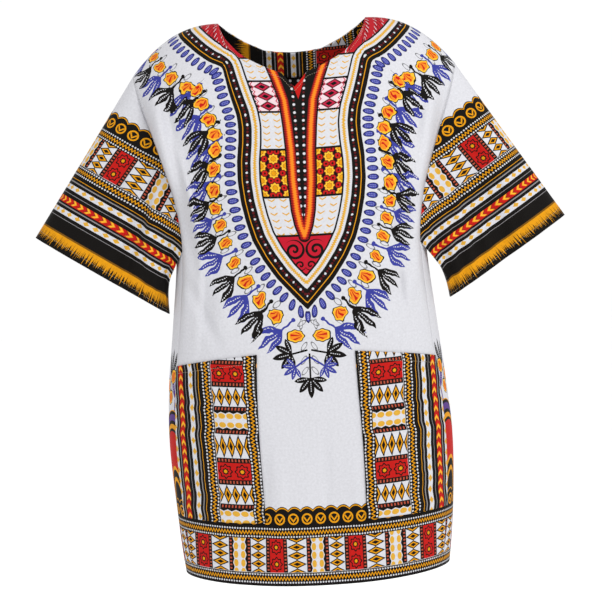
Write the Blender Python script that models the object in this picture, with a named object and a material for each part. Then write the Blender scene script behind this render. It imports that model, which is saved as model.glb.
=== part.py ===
"""A dashiki: a straight, short-sleeved tunic of printed cotton, filled out as it is worn.

The front and the back are wide panels joined at the shoulders and the sides. The sleeves are
short, wide tubes set on a dropped shoulder. Two patch pockets lie on the front, and a facing
lines the back of the neck. Each piece is a wall of cloth of its own.

+Z is up and the front faces -Y. The origin is between the two neck points of the shoulder
line, where the wearer's shoulders hold the garment. Sizes below are in millimetres.
"""

import math
from types import SimpleNamespace

import bmesh
import bpy
import numpy as np
from mathutils import Vector

MM = 0.001

# Cloth
CLOTH = 1.5
FACING_CLOTH = 1.2
SEAM_GAP = 0.3
TIE_BREAK = 0.01
# How much the sleeve turns the walls at the corner where three pieces meet
CORNER_PULL = 0.3

# Levels and widths that the rest follows
HEM = -803.0
HEM_SIDE_RISE = 12.0
ARMPIT = -333.0
TIP = -73.0
TIP_HALF = 235.0
NECK_HALF = 107.0
SHOULDER_FALL = 2.3
ROUNDNESS = 2.5

# The body at each height: half of its width at the sides, its depth before and behind, how far
# it sways to the left, and how deep the side seam lies, as a share of the depth before
BODY_COLUMNS = ("height", "half_width", "front", "back", "sway", "seam")
BODY = [
    (HEM, 191, 117, 110, 4, 0.5),
    (-770, 195, 118, 111, 4, 0.5),
    (-700, 201, 119, 110, 4, 0.5),
    (-606, 205, 120, 107, 2, 0.5),
    (-525, 200, 119, 102, 0, 0.5),
    (-440, 191, 118, 98, 0, 0.5),
    (ARMPIT, 181, 121, 98, 0, 0.47),
    (-240, 181, 123, 103, 0, 0.45),
    (-150, 181, 118, 104, 0, 0.45),
    (0, 181, 112, 98, 0, 0.45),
]

# The armhole seam above the armpit: how far out it lies, and its depth as a share of the body's
ARMHOLE_COLUMNS = ("height", "front_out", "front_share", "back_out", "back_share")
ARMHOLE = [
    (ARMPIT, 169, 0.47, 181, 0.0),
    (-310, 170, 0.47, 183, 0.27),
    (-262, 177, 0.47, 190, 0.43),
    (-188, 199, 0.48, 207, 0.47),
    (-110, 225, 0.5, 225, 0.5),
    (TIP, TIP_HALF, 0.5, TIP_HALF, 0.5),
]

# The neck edge from the middle out to the neck point. The front starts in a short slit
NECK_COLUMNS = ("out", "height")
FRONT_NECK = [
    (0, -109), (8, -100), (18, -87), (30, -82.5), (47, -74), (64, -64), (79, -52), (95, -32),
    (102, -18), (NECK_HALF, 0),
]  # fmt: skip
BACK_NECK = [(0, -37.5), (24, -36), (43, -33), (73, -20), (95, -7.5), (NECK_HALF, 0)]

# How far the cloth falls from the shoulder line before it hangs straight, and how full it falls
FRONT_FALL, FRONT_FULLNESS = 300.0, 0.55
BACK_FALL, BACK_FULLNESS = 220.0, 0.5
# Folds only rise where the cloth hangs at least this deep, clear of the shoulder line
FOLDING_DEPTH = 60.0
# The share of the height above the armpit over which the columns spread evenly
SPREADING = 0.67

# The roll of spare width that runs from each armhole down the edge of the front
ROLL_COLUMNS = ("height", "middle", "rise_right", "rise_left")
ROLL = [
    (-510, 170, 0, 0),
    (-450, 161, 4, 2),
    (-400, 155, 8, 6),
    (ARMPIT, 151, 10, 9),
    (-262, 158, 11, 11),
    (-188, 181, 10, 6),
    (-110, 207, 6, 2),
    (TIP, 218, 0, 0),
]
ROLL_HALF = 17.0
ROLL_LEAN = 0.3
# The share of a roll's half width, on its inner side, where the lean starts
LEAN_START = 0.2

# Long soft folds, given on the cloth's face: a rise below zero is a trough
FOLD_FADE = 0.35
FOLD_COLUMNS = ("top_out", "top", "foot_out", "foot", "half", "rise")
FRONT_FOLDS = [
    (-70, -560, -96, -830, 26, -4.0),
    (-112, -330, -118, -470, 20, 4.0),
    (104, -340, 116, -500, 24, 3.0),
    (18, -600, 30, -830, 34, -3.0),
    (150, -110, 96, -250, 22, -5.0),
    (-160, -70, -112, -270, 24, 4.0),
    (-200, -90, -150, -300, 20, 3.0),
]
BACK_FOLDS = [
    (-30, -260, -62, -860, 30, 7.0),
    (48, -300, 40, -860, 34, 8.0),
    (-120, -330, -138, -860, 26, -6.0),
    (128, -330, 122, -860, 28, -6.0),
    (0, -300, -8, -860, 22, -5.0),
]

# Sleeves: the cuff is a flat oval square to the sleeve
CUFF_COLUMNS = ("top_out", "top", "under_out", "under", "depth")
LEFT_CUFF = (384, -300, 213, -412, 42)
RIGHT_CUFF = (385, -300, 196, -419, 44)
CUFF_SQUARENESS = 0.7
# How far the underside of a sleeve stands off the body half-way down
UNDER_PUFF = 6.0
SLEEVE_RINGS = 9
# Folds along a sleeve: place round it (0 shoulder, 0.25 front, 0.5 underarm), start and end
SLEEVE_FOLD_COLUMNS = ("start_round", "end_round", "start", "end", "half", "rise")
LEFT_SLEEVE_FOLDS = [
    (0.15, 0.26, -0.1, 1.4, 0.045, -9.0),
    (0.22, 0.35, 0.0, 1.4, 0.05, 6.0),
    (0.10, 0.17, 0.1, 1.4, 0.04, 4.0),
    (0.70, 0.74, -0.1, 1.4, 0.06, -7.0),
]
RIGHT_SLEEVE_FOLDS = [
    (0.20, 0.33, -0.1, 1.2, 0.05, -5.0),
    (0.27, 0.40, -0.1, 1.4, 0.05, 5.0),
    (0.72, 0.78, -0.1, 1.4, 0.06, -7.0),
]

# Grid lines: across the panels as shares of the half width, and up them as shares of a stretch
FRONT_ACROSS = [
    0, 0.034, 0.077, 0.12, 0.175, 0.235, 0.29, 0.345, 0.4, 0.43, 0.455, 0.52, 0.595, 0.668,
    0.73, 0.78, 0.827, 0.873, 0.914, 0.95, 0.978, 1,
]  # fmt: skip
# Past 1, at the side, the back runs on round to the side seam at 2
BACK_ACROSS = [
    0, 0.1, 0.19, 0.28, 0.37, 0.42, 0.455, 0.55, 0.64, 0.73, 0.81, 0.88, 0.94, 1, 1.25, 1.5, 1.75, 2,
]  # fmt: skip
HEM_TO_ARMPIT = [
    0, 0.05, 0.11, 0.186, 0.25, 0.31, 0.38, 0.45, 0.52, 0.59, 0.635, 0.71, 0.78, 0.855, 0.93, 1,
]  # fmt: skip
ARMPIT_TO_TOP = [
    0.05, 0.12, 0.2, 0.28, 0.36, 0.44, 0.52, 0.6, 0.68, 0.75, 0.82, 0.89, 0.94, 0.975, 0.992, 1,
]  # fmt: skip

# Patch pockets run out to the side seam. The inner edge and the foot lie on grid lines
POCKET_INNER = 0.235
POCKET_GAP = 0.45
POCKET_FOOT = 0.186
POCKET_MOUTH_INNER, POCKET_MOUTH_OUTER = -481.0, -494.0
ROW_CLEARANCE = 5.0

# The facing reaches this many grid rows down inside the back of the neck
FACING_ROWS = 4

COLOURS = {
    "front_panel": (0.83, 0.82, 0.85),
    "back_panel": (0.83, 0.82, 0.85),
    "sleeve_left": (0.12, 0.09, 0.06),
    "sleeve_right": (0.12, 0.09, 0.06),
    "pocket_left": (0.25, 0.16, 0.07),
    "pocket_right": (0.25, 0.16, 0.07),
    "neck_facing": (0.3, 0.17, 0.06),
}
COTTON_ROUGHNESS = 0.85


def named(names, row):
    """A table's row with its columns as names."""
    return SimpleNamespace(**dict(zip(names, row)))


def column(rows, names, name):
    """One named column of a table, as numbers."""
    return np.array([row[names.index(name)] for row in rows], float)


def eased(rows, names, name, at):
    """A column read between its rows on a smooth curve. The first column says where each row is."""
    places = column(rows, names, names[0])
    values = column(rows, names, name)
    at = np.clip(at, places[0], places[-1])
    slopes = np.gradient(values, places)
    low = np.clip(np.searchsorted(places, at, side="right") - 1, 0, len(places) - 2)
    span = places[low + 1] - places[low]
    t = (at - places[low]) / span
    return (
        (2 * t**3 - 3 * t**2 + 1) * values[low]
        + (t**3 - 2 * t**2 + t) * span * slopes[low]
        + (3 * t**2 - 2 * t**3) * values[low + 1]
        + (t**3 - t**2) * span * slopes[low + 1]
    )


def shoulder_line(out):
    """The height of the shoulder line at a distance out from the middle."""
    fall = np.clip((np.abs(out) - NECK_HALF) / (TIP_HALF - NECK_HALF), 0, None)
    return TIP * fall**SHOULDER_FALL


def top_edge(out, neck):
    """The upper edge of a panel: the neck edge in the middle, and the shoulder line beyond it."""
    out = np.abs(out)
    edge = np.interp(out, column(neck, NECK_COLUMNS, "out"), column(neck, NECK_COLUMNS, "height"))
    return np.where(out < NECK_HALF, edge, shoulder_line(out))


def signed_shares(across):
    """The grid's columns from the right of the garment to its left, mirrored about the middle."""
    return np.array([-a for a in across[:0:-1]] + list(across))


def falling(out, height, facing):
    """How full the cloth is below the shoulder line, from 0 on the line to 1."""
    fall, fullness = (FRONT_FALL, FRONT_FULLNESS) if facing < 0 else (BACK_FALL, BACK_FULLNESS)
    drop = np.clip((shoulder_line(out) - height) / fall, 0, 1)
    return (1 - (1 - drop) ** 2) ** fullness


def body_row(size, level, facing):
    """One row of a panel below the armpit: how far out, how far toward its face, and how high."""
    height = HEM + (ARMPIT - HEM) * level
    half, front, back, seam = (
        eased(BODY, BODY_COLUMNS, name, height) for name in ("half_width", "front", "back", "seam")
    )
    seam_turn = math.acos(seam ** (ROUNDNESS / 2))
    if facing < 0:
        turn = size * seam_turn
    else:
        beyond = np.clip(size - 1, 0, 1)
        turn = np.clip(size, 0, 1) * math.pi / 2 + beyond * (math.pi / 2 - seam_turn)
    out = half * np.sin(turn) ** (2 / ROUNDNESS)
    before = np.cos(turn) * facing < 0
    toward = np.abs(np.cos(turn)) ** (2 / ROUNDNESS)
    depth = np.where(before, front * falling(out, height, -1), back * falling(out, height, 1))
    face = np.where(before, -1, 1) * facing
    rise = HEM_SIDE_RISE * (1 - level) * (out / half) ** 2
    return out, toward * depth * face, height + rise


def shoulder_row(size, level, facing, neck):
    """One row of a panel above the armpit, between its two armholes."""
    side = "front" if facing < 0 else "back"
    seam_height = ARMPIT + (TIP - ARMPIT) * level
    seam_out = eased(ARMHOLE, ARMHOLE_COLUMNS, side + "_out", seam_height)
    armpit_out = body_row(size, 1.0, facing)[0]
    straight = min(1.0, level / SPREADING)
    straight = straight**2 * (3 - 2 * straight)
    out = seam_out * (armpit_out / armpit_out[-1] * (1 - straight) + size * straight)
    height = ARMPIT + (top_edge(size * TIP_HALF, neck) - ARMPIT) * level
    depth = eased(BODY, BODY_COLUMNS, side, height)
    edge = eased(ARMHOLE, ARMHOLE_COLUMNS, side + "_out", height)
    share = np.clip(eased(ARMHOLE, ARMHOLE_COLUMNS, side + "_share", height), 0, 1)
    reach = (1 - share**ROUNDNESS) ** (1 / ROUNDNESS)
    across = np.clip(reach * out / edge, 0, 1)
    toward = (1 - across**ROUNDNESS) ** (1 / ROUNDNESS)
    return out, toward * depth * falling(out, height, facing), height


def fold_rise(folds, out, height):
    """How far the long folds lift the cloth off its smooth form."""
    rise = np.zeros_like(out)
    for row in folds:
        fold = named(FOLD_COLUMNS, row)
        length = fold.top - fold.foot
        along = np.clip((fold.top - height) / length, 0, 1)
        middle = fold.top_out + (fold.foot_out - fold.top_out) * along
        across = np.clip(np.abs(out - middle) / fold.half, 0, 1)
        ends = np.minimum(fold.top - height, height - fold.foot)
        fade = np.clip(ends / (FOLD_FADE * length), 0, 1)
        rise += fold.rise * (1 - across**2) ** 2 * fade * fade * (3 - 2 * fade)
    return rise


def roll_shift(out, height):
    """The roll beside each armhole: how far it stands forward, and how far it leans outward."""
    middle = eased(ROLL, ROLL_COLUMNS, "middle", height)
    rise = np.where(
        out < 0,
        eased(ROLL, ROLL_COLUMNS, "rise_right", height),
        eased(ROLL, ROLL_COLUMNS, "rise_left", height),
    )
    place = np.clip((np.abs(out) - middle) / ROLL_HALF, -1, 1)
    forward = rise * (1 - place**4) ** 1.5
    outer = np.clip((place + LEAN_START) / (1 + LEAN_START), 0, 1) ** 1.6
    return forward, rise * ROLL_LEAN * np.sin(math.pi * outer) * np.sign(out)


def panel_points(across, facing, neck, folds):
    """The outer face of the front (-1) or the back (1): rows from the hem up, columns across."""
    share = signed_shares(across)
    size = np.abs(share)
    rows = [body_row(size, level, facing) for level in HEM_TO_ARMPIT]
    within = size <= 1
    for level in ARMPIT_TO_TOP:
        row = np.full((3, len(size)), np.nan)
        row[:, within] = shoulder_row(size[within], level, facing, neck)
        rows.append(row)
    points = []
    for out, depth, height in rows:
        signed = out * np.sign(share)
        hang = np.sqrt(np.clip(depth / FOLDING_DEPTH, 0, 1))
        depth = depth + fold_rise(folds, signed, height) * hang
        if facing < 0:
            forward, outward = roll_shift(signed, height)
            depth = depth + forward * hang
            signed = signed + outward * hang
        signed = signed + eased(BODY, BODY_COLUMNS, "sway", height)
        points.append(np.stack([signed, facing * depth, height], axis=-1))
    return np.array(points)


def slopes(points):
    """The step between the points before and after each one, or to the only one there is."""
    ahead = np.full_like(points, np.nan)
    ahead[:-1] = points[1:] - points[:-1]
    behind = np.full_like(points, np.nan)
    behind[1:] = ahead[:-1]
    only_behind = np.isnan(ahead)
    only_ahead = np.isnan(behind)
    ahead[only_behind] = behind[only_behind]
    behind[only_ahead] = ahead[only_ahead]
    return ahead + behind


def faces_out(points):
    """Unit normals of a grid of points, from the points on either side of each."""
    up = slopes(points)
    over = slopes(points.transpose(1, 0, 2)).transpose(1, 0, 2)
    normal = np.cross(over, up)
    return normal / np.linalg.norm(normal, axis=-1, keepdims=True)


def unit(vectors):
    return vectors / np.linalg.norm(vectors, axis=-1, keepdims=True)


def sleeve_points(armhole, side, cuff, folds):
    """Rings from the armhole to the cuff. Each ring runs shoulder, front, underarm, back."""
    steps = np.linalg.norm(np.diff(np.vstack([armhole, armhole[:1]]), axis=0), axis=1)
    place = np.concatenate([[0], np.cumsum(steps)[:-1]]) / steps.sum()
    angle = 2 * math.pi * place
    cuff = named(CUFF_COLUMNS, cuff)
    middle_out, middle = (cuff.top_out + cuff.under_out) / 2, (cuff.top + cuff.under) / 2
    cuff_ring = np.stack(
        [
            side * (middle_out + (cuff.top_out - middle_out) * np.cos(angle)),
            -cuff.depth * np.sign(np.sin(angle)) * np.abs(np.sin(angle)) ** CUFF_SQUARENESS,
            middle + (cuff.top - middle) * np.cos(angle),
        ],
        axis=-1,
    )
    rings = []
    for along in np.linspace(0, 1, SLEEVE_RINGS):
        ring = armhole * (1 - along) + cuff_ring * along
        ring[:, 0] += side * UNDER_PUFF * math.sin(math.pi * along) * np.clip(-np.cos(angle), 0, 1) ** 2
        rise = np.zeros_like(place)
        for row in folds:
            fold = named(SLEEVE_FOLD_COLUMNS, row)
            centre = fold.start_round + (fold.end_round - fold.start_round) * along
            across = np.clip(np.abs(place - centre) / fold.half, 0, 1)
            fade = np.clip(min(along - fold.start, fold.end - along) / FOLD_FADE, 0, 1)
            rise += fold.rise * (1 - across**2) ** 2 * fade * min(1.0, along / FOLD_FADE)
        ring[:, 1] -= rise * np.sign(np.sin(angle))
        rings.append(ring)
    return np.array(rings)


def printed_cotton(piece):
    """Cotton in the mean colour of one piece's print."""
    material = bpy.data.materials.new(piece + "_cotton")
    material.use_nodes = True
    shader = material.node_tree.nodes["Principled BSDF"]
    shader.inputs["Base Color"].default_value = (*COLOURS[piece], 1)
    shader.inputs["Roughness"].default_value = COTTON_ROUGHNESS
    return material


def wall(name, outer, inward, thickness, ring=False):
    """A closed solid: a grid laid on the outer points, extruded, and its copy moved inward.

    Where a point is not a number, the cloth is cut away.
    """
    if ring:
        outer = np.concatenate([outer, outer[:, :1]], axis=1)
        inward = np.concatenate([inward, inward[:, :1]], axis=1)
    rows, columns = outer.shape[:2]
    outer, inward = outer.reshape(-1, 3) * MM, inward.reshape(-1, 3) * thickness * MM
    bm = bmesh.new()
    bmesh.ops.create_grid(bm, x_segments=columns - 1, y_segments=rows - 1, size=1)
    place = bm.verts.layers.int.new("place")
    for number, vert in enumerate(bm.verts):
        vert.co = outer[number]
        vert[place] = number
    empty = [vert for vert in bm.verts if math.isnan(vert.co.x)]
    bmesh.ops.delete(bm, geom=empty, context="VERTS")
    right = [face for face in bm.faces if face.calc_center_median().x < 0]
    bmesh.ops.triangulate(bm, faces=right, quad_method="ALTERNATE")
    bmesh.ops.triangulate(bm, faces=bm.faces, quad_method="FIXED")
    bmesh.ops.remove_doubles(bm, verts=bm.verts, dist=1e-6)
    made = bmesh.ops.extrude_face_region(bm, geom=bm.faces[:], use_keep_orig=True)
    moved = {item for item in made["geom"] if isinstance(item, bmesh.types.BMVert)}
    for vert in moved:
        vert.co += Vector(inward[vert[place]])
    # The rims are split from the lower outer corner, so that two that meet have the same shape
    for rim in [face for face in bm.faces if len(face.verts) == 4]:
        corners = list(rim.verts)
        low = min((v for v in corners if v not in moved), key=lambda v: v.co.z + TIE_BREAK * v.co.y)
        bmesh.utils.face_split(rim, low, corners[corners.index(low) - 2])
    bm.verts.layers.int.remove(place)
    bmesh.ops.recalc_face_normals(bm, faces=bm.faces)
    mesh = bpy.data.meshes.new(name)
    bm.to_mesh(mesh)
    bm.free()
    mesh.materials.append(printed_cotton(name))
    mesh.shade_smooth()
    mesh.set_sharp_from_angle(angle=math.radians(50))
    piece = bpy.data.objects.new(name, mesh)
    bpy.context.scene.collection.objects.link(piece)
    return piece


def pocket_grid(panel, inward, side):
    """The front's own points under a patch pocket, cut off along its sloping mouth."""
    share = side * signed_shares(FRONT_ACROSS)
    chosen = np.flatnonzero(share > POCKET_INNER - 0.001)
    foot = HEM_TO_ARMPIT.index(POCKET_FOOT)
    slope = (share[chosen] - POCKET_INNER) / (1 - POCKET_INNER)
    mouth = POCKET_MOUTH_INNER + (POCKET_MOUTH_OUTER - POCKET_MOUTH_INNER) * slope
    heights = panel[:, chosen, 2]
    top = int(np.argmax((heights > POCKET_MOUTH_OUTER - ROW_CLEARANCE).any(axis=1)))
    grids = []
    for source in (panel, inward):
        edge = [
            [np.interp(mouth[k], heights[:, k], source[:, i, axis]) for axis in range(3)]
            for k, i in enumerate(chosen)
        ]
        grids.append(np.concatenate([source[foot:top, chosen], [edge]]))
    return grids


def facing_grid(panel, inward):
    """The back's own points round the neck, down to the lower edge of the facing."""
    chosen = np.abs(signed_shares(BACK_ACROSS)) < NECK_HALF / TIP_HALF + 0.001
    return [source[-1 - FACING_ROWS :, chosen] for source in (panel, inward)]


def mitred(normals_and_places):
    """Give every piece that meets at a seam the same normal there."""
    pieces = []
    for normals, places in normals_and_places:
        pieces.append(np.array([normals[place] for place in places]))
    shared = unit(sum(pieces))
    for normals, places in normals_and_places:
        for place, normal in zip(places, shared):
            normals[place] = normal


def build():
    for leftover in list(bpy.data.objects):
        bpy.data.objects.remove(leftover)
    front = panel_points(FRONT_ACROSS, -1, FRONT_NECK, FRONT_FOLDS)
    back = panel_points(BACK_ACROSS, 1, BACK_NECK, BACK_FOLDS)
    front_out, back_out = faces_out(front), -faces_out(back)
    armpit = len(HEM_TO_ARMPIT) - 1
    rows, front_columns = front.shape[:2]
    back_columns = back.shape[1]
    strip = len([a for a in BACK_ACROSS if a > 1])

    # The side seams, then the shoulder seams: the front and the back share their normals
    below = range(armpit + 1)
    for edge in (0, -1):
        mitred([(front_out, [(j, edge) for j in below]), (back_out, [(j, edge) for j in below])])
    neck_point = NECK_HALF / TIP_HALF - 0.001
    for normals, across in ((front_out, FRONT_ACROSS), (back_out, BACK_ACROSS)):
        on_shoulder = (np.abs(signed_shares(across)) > neck_point) & ~np.isnan(normals[-1, :, 0])
        normals[-1, on_shoulder] = unit(normals[-1, on_shoulder] * (1, 0, 1))

    sleeves = {}
    for name, side, cuff, folds in (
        ("sleeve_left", 1, LEFT_CUFF, LEFT_SLEEVE_FOLDS),
        ("sleeve_right", -1, RIGHT_CUFF, RIGHT_SLEEVE_FOLDS),
    ):
        front_column = front_columns - 1 if side > 0 else 0
        side_column = back_columns - 1 - strip if side > 0 else strip
        front_seam = [(j, front_column) for j in range(rows - 1, armpit - 1, -1)]
        under_seam = [(armpit, side_column + side * step) for step in range(strip - 1, 0, -1)]
        back_seam = [(j, side_column) for j in range(armpit, rows - 1)]
        armhole = np.array(
            [front[place] for place in front_seam] + [back[place] for place in under_seam + back_seam]
        )
        rings = sleeve_points(armhole, side, cuff, folds)
        wrapped = np.concatenate([rings[:, -1:], rings, rings[:, :1]], axis=1)
        normals = side * faces_out(wrapped)[:, 1:-1]
        panel_normals = [front_out[place] for place in front_seam]
        panel_normals += [back_out[place] for place in under_seam + back_seam]
        normals[0, len(front_seam) - 1] *= CORNER_PULL
        normals[0] = unit(normals[0] + np.array(panel_normals))
        for number, place in enumerate(front_seam):
            front_out[place] = normals[0, number]
        for number, place in enumerate(under_seam + back_seam, start=len(front_seam)):
            back_out[place] = normals[0, number]
        back_out[rows - 1, side_column] = normals[0, 0]
        back_out[armpit, side_column + side * strip] = normals[0, len(front_seam) - 1]
        rings[:, :, 0] += side * SEAM_GAP
        sleeves[name] = (rings, normals)

    front[..., 1] -= SEAM_GAP / 2
    back[..., 1] += SEAM_GAP / 2
    wall("front_panel", front, -front_out, CLOTH)
    wall("back_panel", back, -back_out, CLOTH)
    for name, (rings, normals) in sleeves.items():
        wall(name, rings, -normals, CLOTH, ring=True)
    for name, side in (("pocket_left", 1), ("pocket_right", -1)):
        points, normals = pocket_grid(front, front_out, side)
        wall(name, points + normals * (POCKET_GAP + CLOTH), -normals, CLOTH)
    points, normals = facing_grid(back, back_out)
    wall("neck_facing", points - normals * (CLOTH + SEAM_GAP), -normals, FACING_CLOTH)


build()
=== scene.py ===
"""A dashiki of printed cotton, filled out as it is worn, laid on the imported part's own form.

Sizes below are in millimetres, and the garment's front faces -Y.
"""

import math
from types import SimpleNamespace

import bmesh
import bpy
import numpy as np
from mathutils import Matrix, Vector, kdtree


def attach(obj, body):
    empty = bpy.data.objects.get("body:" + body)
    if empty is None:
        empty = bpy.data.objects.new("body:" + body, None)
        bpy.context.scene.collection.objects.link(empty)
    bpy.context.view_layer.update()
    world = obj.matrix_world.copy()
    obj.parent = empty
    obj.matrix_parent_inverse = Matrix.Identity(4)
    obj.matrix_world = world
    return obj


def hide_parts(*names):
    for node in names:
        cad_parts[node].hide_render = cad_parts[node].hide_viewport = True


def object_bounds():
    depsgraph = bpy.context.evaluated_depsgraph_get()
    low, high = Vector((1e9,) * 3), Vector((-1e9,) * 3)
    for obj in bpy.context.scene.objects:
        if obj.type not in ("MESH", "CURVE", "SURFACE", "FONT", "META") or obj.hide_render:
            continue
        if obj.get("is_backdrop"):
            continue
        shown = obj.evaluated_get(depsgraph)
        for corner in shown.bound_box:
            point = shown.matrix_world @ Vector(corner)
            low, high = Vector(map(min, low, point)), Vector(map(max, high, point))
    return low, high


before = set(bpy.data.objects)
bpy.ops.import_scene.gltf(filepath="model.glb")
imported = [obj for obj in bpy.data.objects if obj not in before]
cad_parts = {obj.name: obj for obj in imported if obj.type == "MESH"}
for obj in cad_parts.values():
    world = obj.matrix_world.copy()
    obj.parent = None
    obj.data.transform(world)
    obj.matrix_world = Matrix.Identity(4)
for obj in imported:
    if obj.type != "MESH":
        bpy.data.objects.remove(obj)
cad_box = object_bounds()
MM = 0.001

# Camera, level with the middle of the garment and turned a little, as the photograph was
PICTURE = 612
PIXEL = 1.456
DISTANCE = 2270.0
TOP_OF_GARMENT = 20
ACROSS = 2.0
ROLL_OF_CAMERA = -2.5

camera_data = bpy.data.cameras.new("camera")
camera_data.sensor_width = 36.0
camera_data.lens = 36.0 * DISTANCE / (PIXEL * PICTURE)
camera = bpy.data.objects.new("camera", camera_data)
camera_height = -(PICTURE / 2 - TOP_OF_GARMENT) * PIXEL
camera.matrix_world = (
    Matrix.Translation(Vector((ACROSS * PIXEL, -DISTANCE, camera_height)) * MM)
    @ Matrix.Rotation(math.radians(90), 4, "X")
    @ Matrix.Rotation(math.radians(ROLL_OF_CAMERA), 4, "Z")
)
bpy.context.scene.collection.objects.link(camera)
bpy.context.scene.camera = camera

# Cloth
WALL = 1.5
SHELL = 0.9
SEAM_GAP = 0.3
POCKET_GAP = 0.45

# Levels and widths that the rest follows
HEM = -803.0
HEM_SIDE_RISE = 12.0
ARMPIT = -333.0
TIP = -73.0
TIP_HALF = 235.0
NECK_HALF = 107.0
SHOULDER_FALL = 2.3
ROUNDNESS = 2.5

# The body at each height: half of its width, its depth before and behind, how far it sways to
# the left, and how deep the side seam lies, as a share of the depth before
BODY_COLUMNS = ("height", "half_width", "front", "back", "sway", "seam")
BODY = [
    (HEM, 191, 117, 110, 4, 0.5),
    (-770, 195, 118, 111, 4, 0.5),
    (-700, 201, 119, 110, 4, 0.5),
    (-606, 205, 120, 107, 2, 0.5),
    (-525, 200, 119, 102, 0, 0.5),
    (-440, 191, 118, 98, 0, 0.5),
    (ARMPIT, 181, 121, 98, 0, 0.47),
    (-240, 181, 123, 103, 0, 0.45),
    (-150, 181, 118, 104, 0, 0.45),
    (0, 181, 112, 98, 0, 0.45),
]

# The armhole seam above the armpit: how far out it lies, and its depth as a share of the body's
ARMHOLE_COLUMNS = ("height", "front_out", "front_share", "back_out", "back_share")
ARMHOLE = [
    (ARMPIT, 169, 0.47, 181, 0.0),
    (-310, 170, 0.47, 183, 0.27),
    (-262, 177, 0.47, 190, 0.43),
    (-188, 199, 0.48, 207, 0.47),
    (-110, 225, 0.5, 225, 0.5),
    (TIP, TIP_HALF, 0.5, TIP_HALF, 0.5),
]

# The neck edge from the middle out to the neck point. The front starts in a short slit
NECK_COLUMNS = ("out", "height")
FRONT_NECK = [
    (0, -109), (8, -100), (18, -87), (30, -82.5), (47, -74), (64, -64), (79, -52), (95, -32),
    (102, -18), (NECK_HALF, 0),
]
BACK_NECK = [(0, -37.5), (24, -36), (43, -33), (73, -20), (95, -7.5), (NECK_HALF, 0)]

# How far the cloth falls from the shoulder line before it hangs straight, and how full it falls
FRONT_FALL, FRONT_FULLNESS = 300.0, 0.55
BACK_FALL, BACK_FULLNESS = 220.0, 0.5
FOLDING_DEPTH = 60.0
SPREADING = 0.67

# The roll of spare width that runs from each armhole down the edge of the front
ROLL_COLUMNS = ("height", "middle", "rise_right", "rise_left")
ROLL = [
    (-510, 170, 0, 0),
    (-450, 161, 4, 2),
    (-400, 155, 8, 6),
    (ARMPIT, 151, 10, 9),
    (-262, 158, 11, 11),
    (-188, 181, 10, 6),
    (-110, 207, 6, 2),
    (TIP, 218, 0, 0),
]
ROLL_HALF = 17.0
ROLL_LEAN = 0.3
LEAN_START = 0.2

# Long soft folds, given on the cloth's face: a rise below zero is a trough
FOLD_FADE = 0.35
FOLD_COLUMNS = ("top_out", "top", "foot_out", "foot", "half", "rise")
FRONT_FOLDS = [
    (-70, -560, -96, -830, 26, -4.0),
    (-112, -330, -118, -470, 20, 4.0),
    (104, -340, 116, -500, 24, 3.0),
    (18, -600, 30, -830, 34, -3.0),
    (150, -110, 96, -250, 22, -5.0),
    (-160, -70, -112, -270, 24, 4.0),
    (-200, -90, -150, -300, 20, 3.0),
]
BACK_FOLDS = [
    (-30, -260, -62, -860, 30, 7.0),
    (48, -300, 40, -860, 34, 8.0),
    (-120, -330, -138, -860, 26, -6.0),
    (128, -330, 122, -860, 28, -6.0),
    (0, -300, -8, -860, 22, -5.0),
]

# Creases that only the cloth shows: a sharp trough is paired with a softer ridge beside it
FRONT_CREASES = [
    (-232, -84, -176, -330, 14, -12.0),
    (-210, -80, -160, -300, 13, 8.0),
    (-190, -96, -146, -370, 13, -10.0),
    (-168, -180, -122, -430, 15, 5.0),
    (-176, -340, -112, -490, 13, -4.0),
    (-150, -480, -118, -640, 12, -1.8),
    (-60, -590, -74, -800, 10, -1.8),
    (-44, -610, -52, -800, 12, 1.6),
    (22, -560, 12, -760, 11, -1.6),
    (58, -600, 66, -800, 13, 1.7),
    (224, -84, 170, -290, 13, -11.0),
    (202, -92, 150, -310, 13, 7.0),
    (184, -130, 142, -370, 13, -8.0),
    (176, -300, 108, -440, 14, -4.0),
    (168, -350, 112, -510, 13, 3.2),
    (152, -520, 128, -690, 12, -1.8),
]
BACK_CREASES = [
    (-216, -84, -150, -290, 13, -7.0),
    (-186, -120, -146, -330, 11, 2.8),
    (208, -88, 150, -280, 12, -6.5),
    (180, -130, 148, -350, 12, 2.6),
    (-90, -250, -104, -520, 12, -2.6),
    (-48, -220, -70, -480, 14, 2.2),
    (82, -260, 92, -560, 12, -2.4),
    (24, -420, 34, -780, 11, -2.2),
    (-62, -500, -84, -800, 12, 2.4),
    (104, -520, 96, -800, 12, 2.2),
    (-168, -380, -120, -520, 12, -2.2),
    (166, -390, 116, -540, 11, -2.4),
]

# Sleeves: the cuff is a flat oval square to the sleeve
CUFF_COLUMNS = ("top_out", "top", "under_out", "under", "depth")
LEFT_CUFF = (384, -300, 213, -412, 42)
RIGHT_CUFF = (385, -300, 196, -419, 44)
CUFF_SQUARENESS = 0.7
UNDER_PUFF = 6.0

# Folds along a sleeve: place round it (0 shoulder, 0.25 front, 0.5 underarm), start and end
SLEEVE_FOLD_COLUMNS = ("start_round", "end_round", "start", "end", "half", "rise")
LEFT_SLEEVE_FOLDS = [
    (0.15, 0.26, -0.1, 1.4, 0.045, -9.0),
    (0.22, 0.35, 0.0, 1.4, 0.05, 6.0),
    (0.10, 0.17, 0.1, 1.4, 0.04, 4.0),
    (0.70, 0.74, -0.1, 1.4, 0.06, -7.0),
]
RIGHT_SLEEVE_FOLDS = [
    (0.20, 0.33, -0.1, 1.2, 0.05, -5.0),
    (0.27, 0.40, -0.1, 1.4, 0.05, 5.0),
    (0.72, 0.78, -0.1, 1.4, 0.06, -7.0),
]

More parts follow.
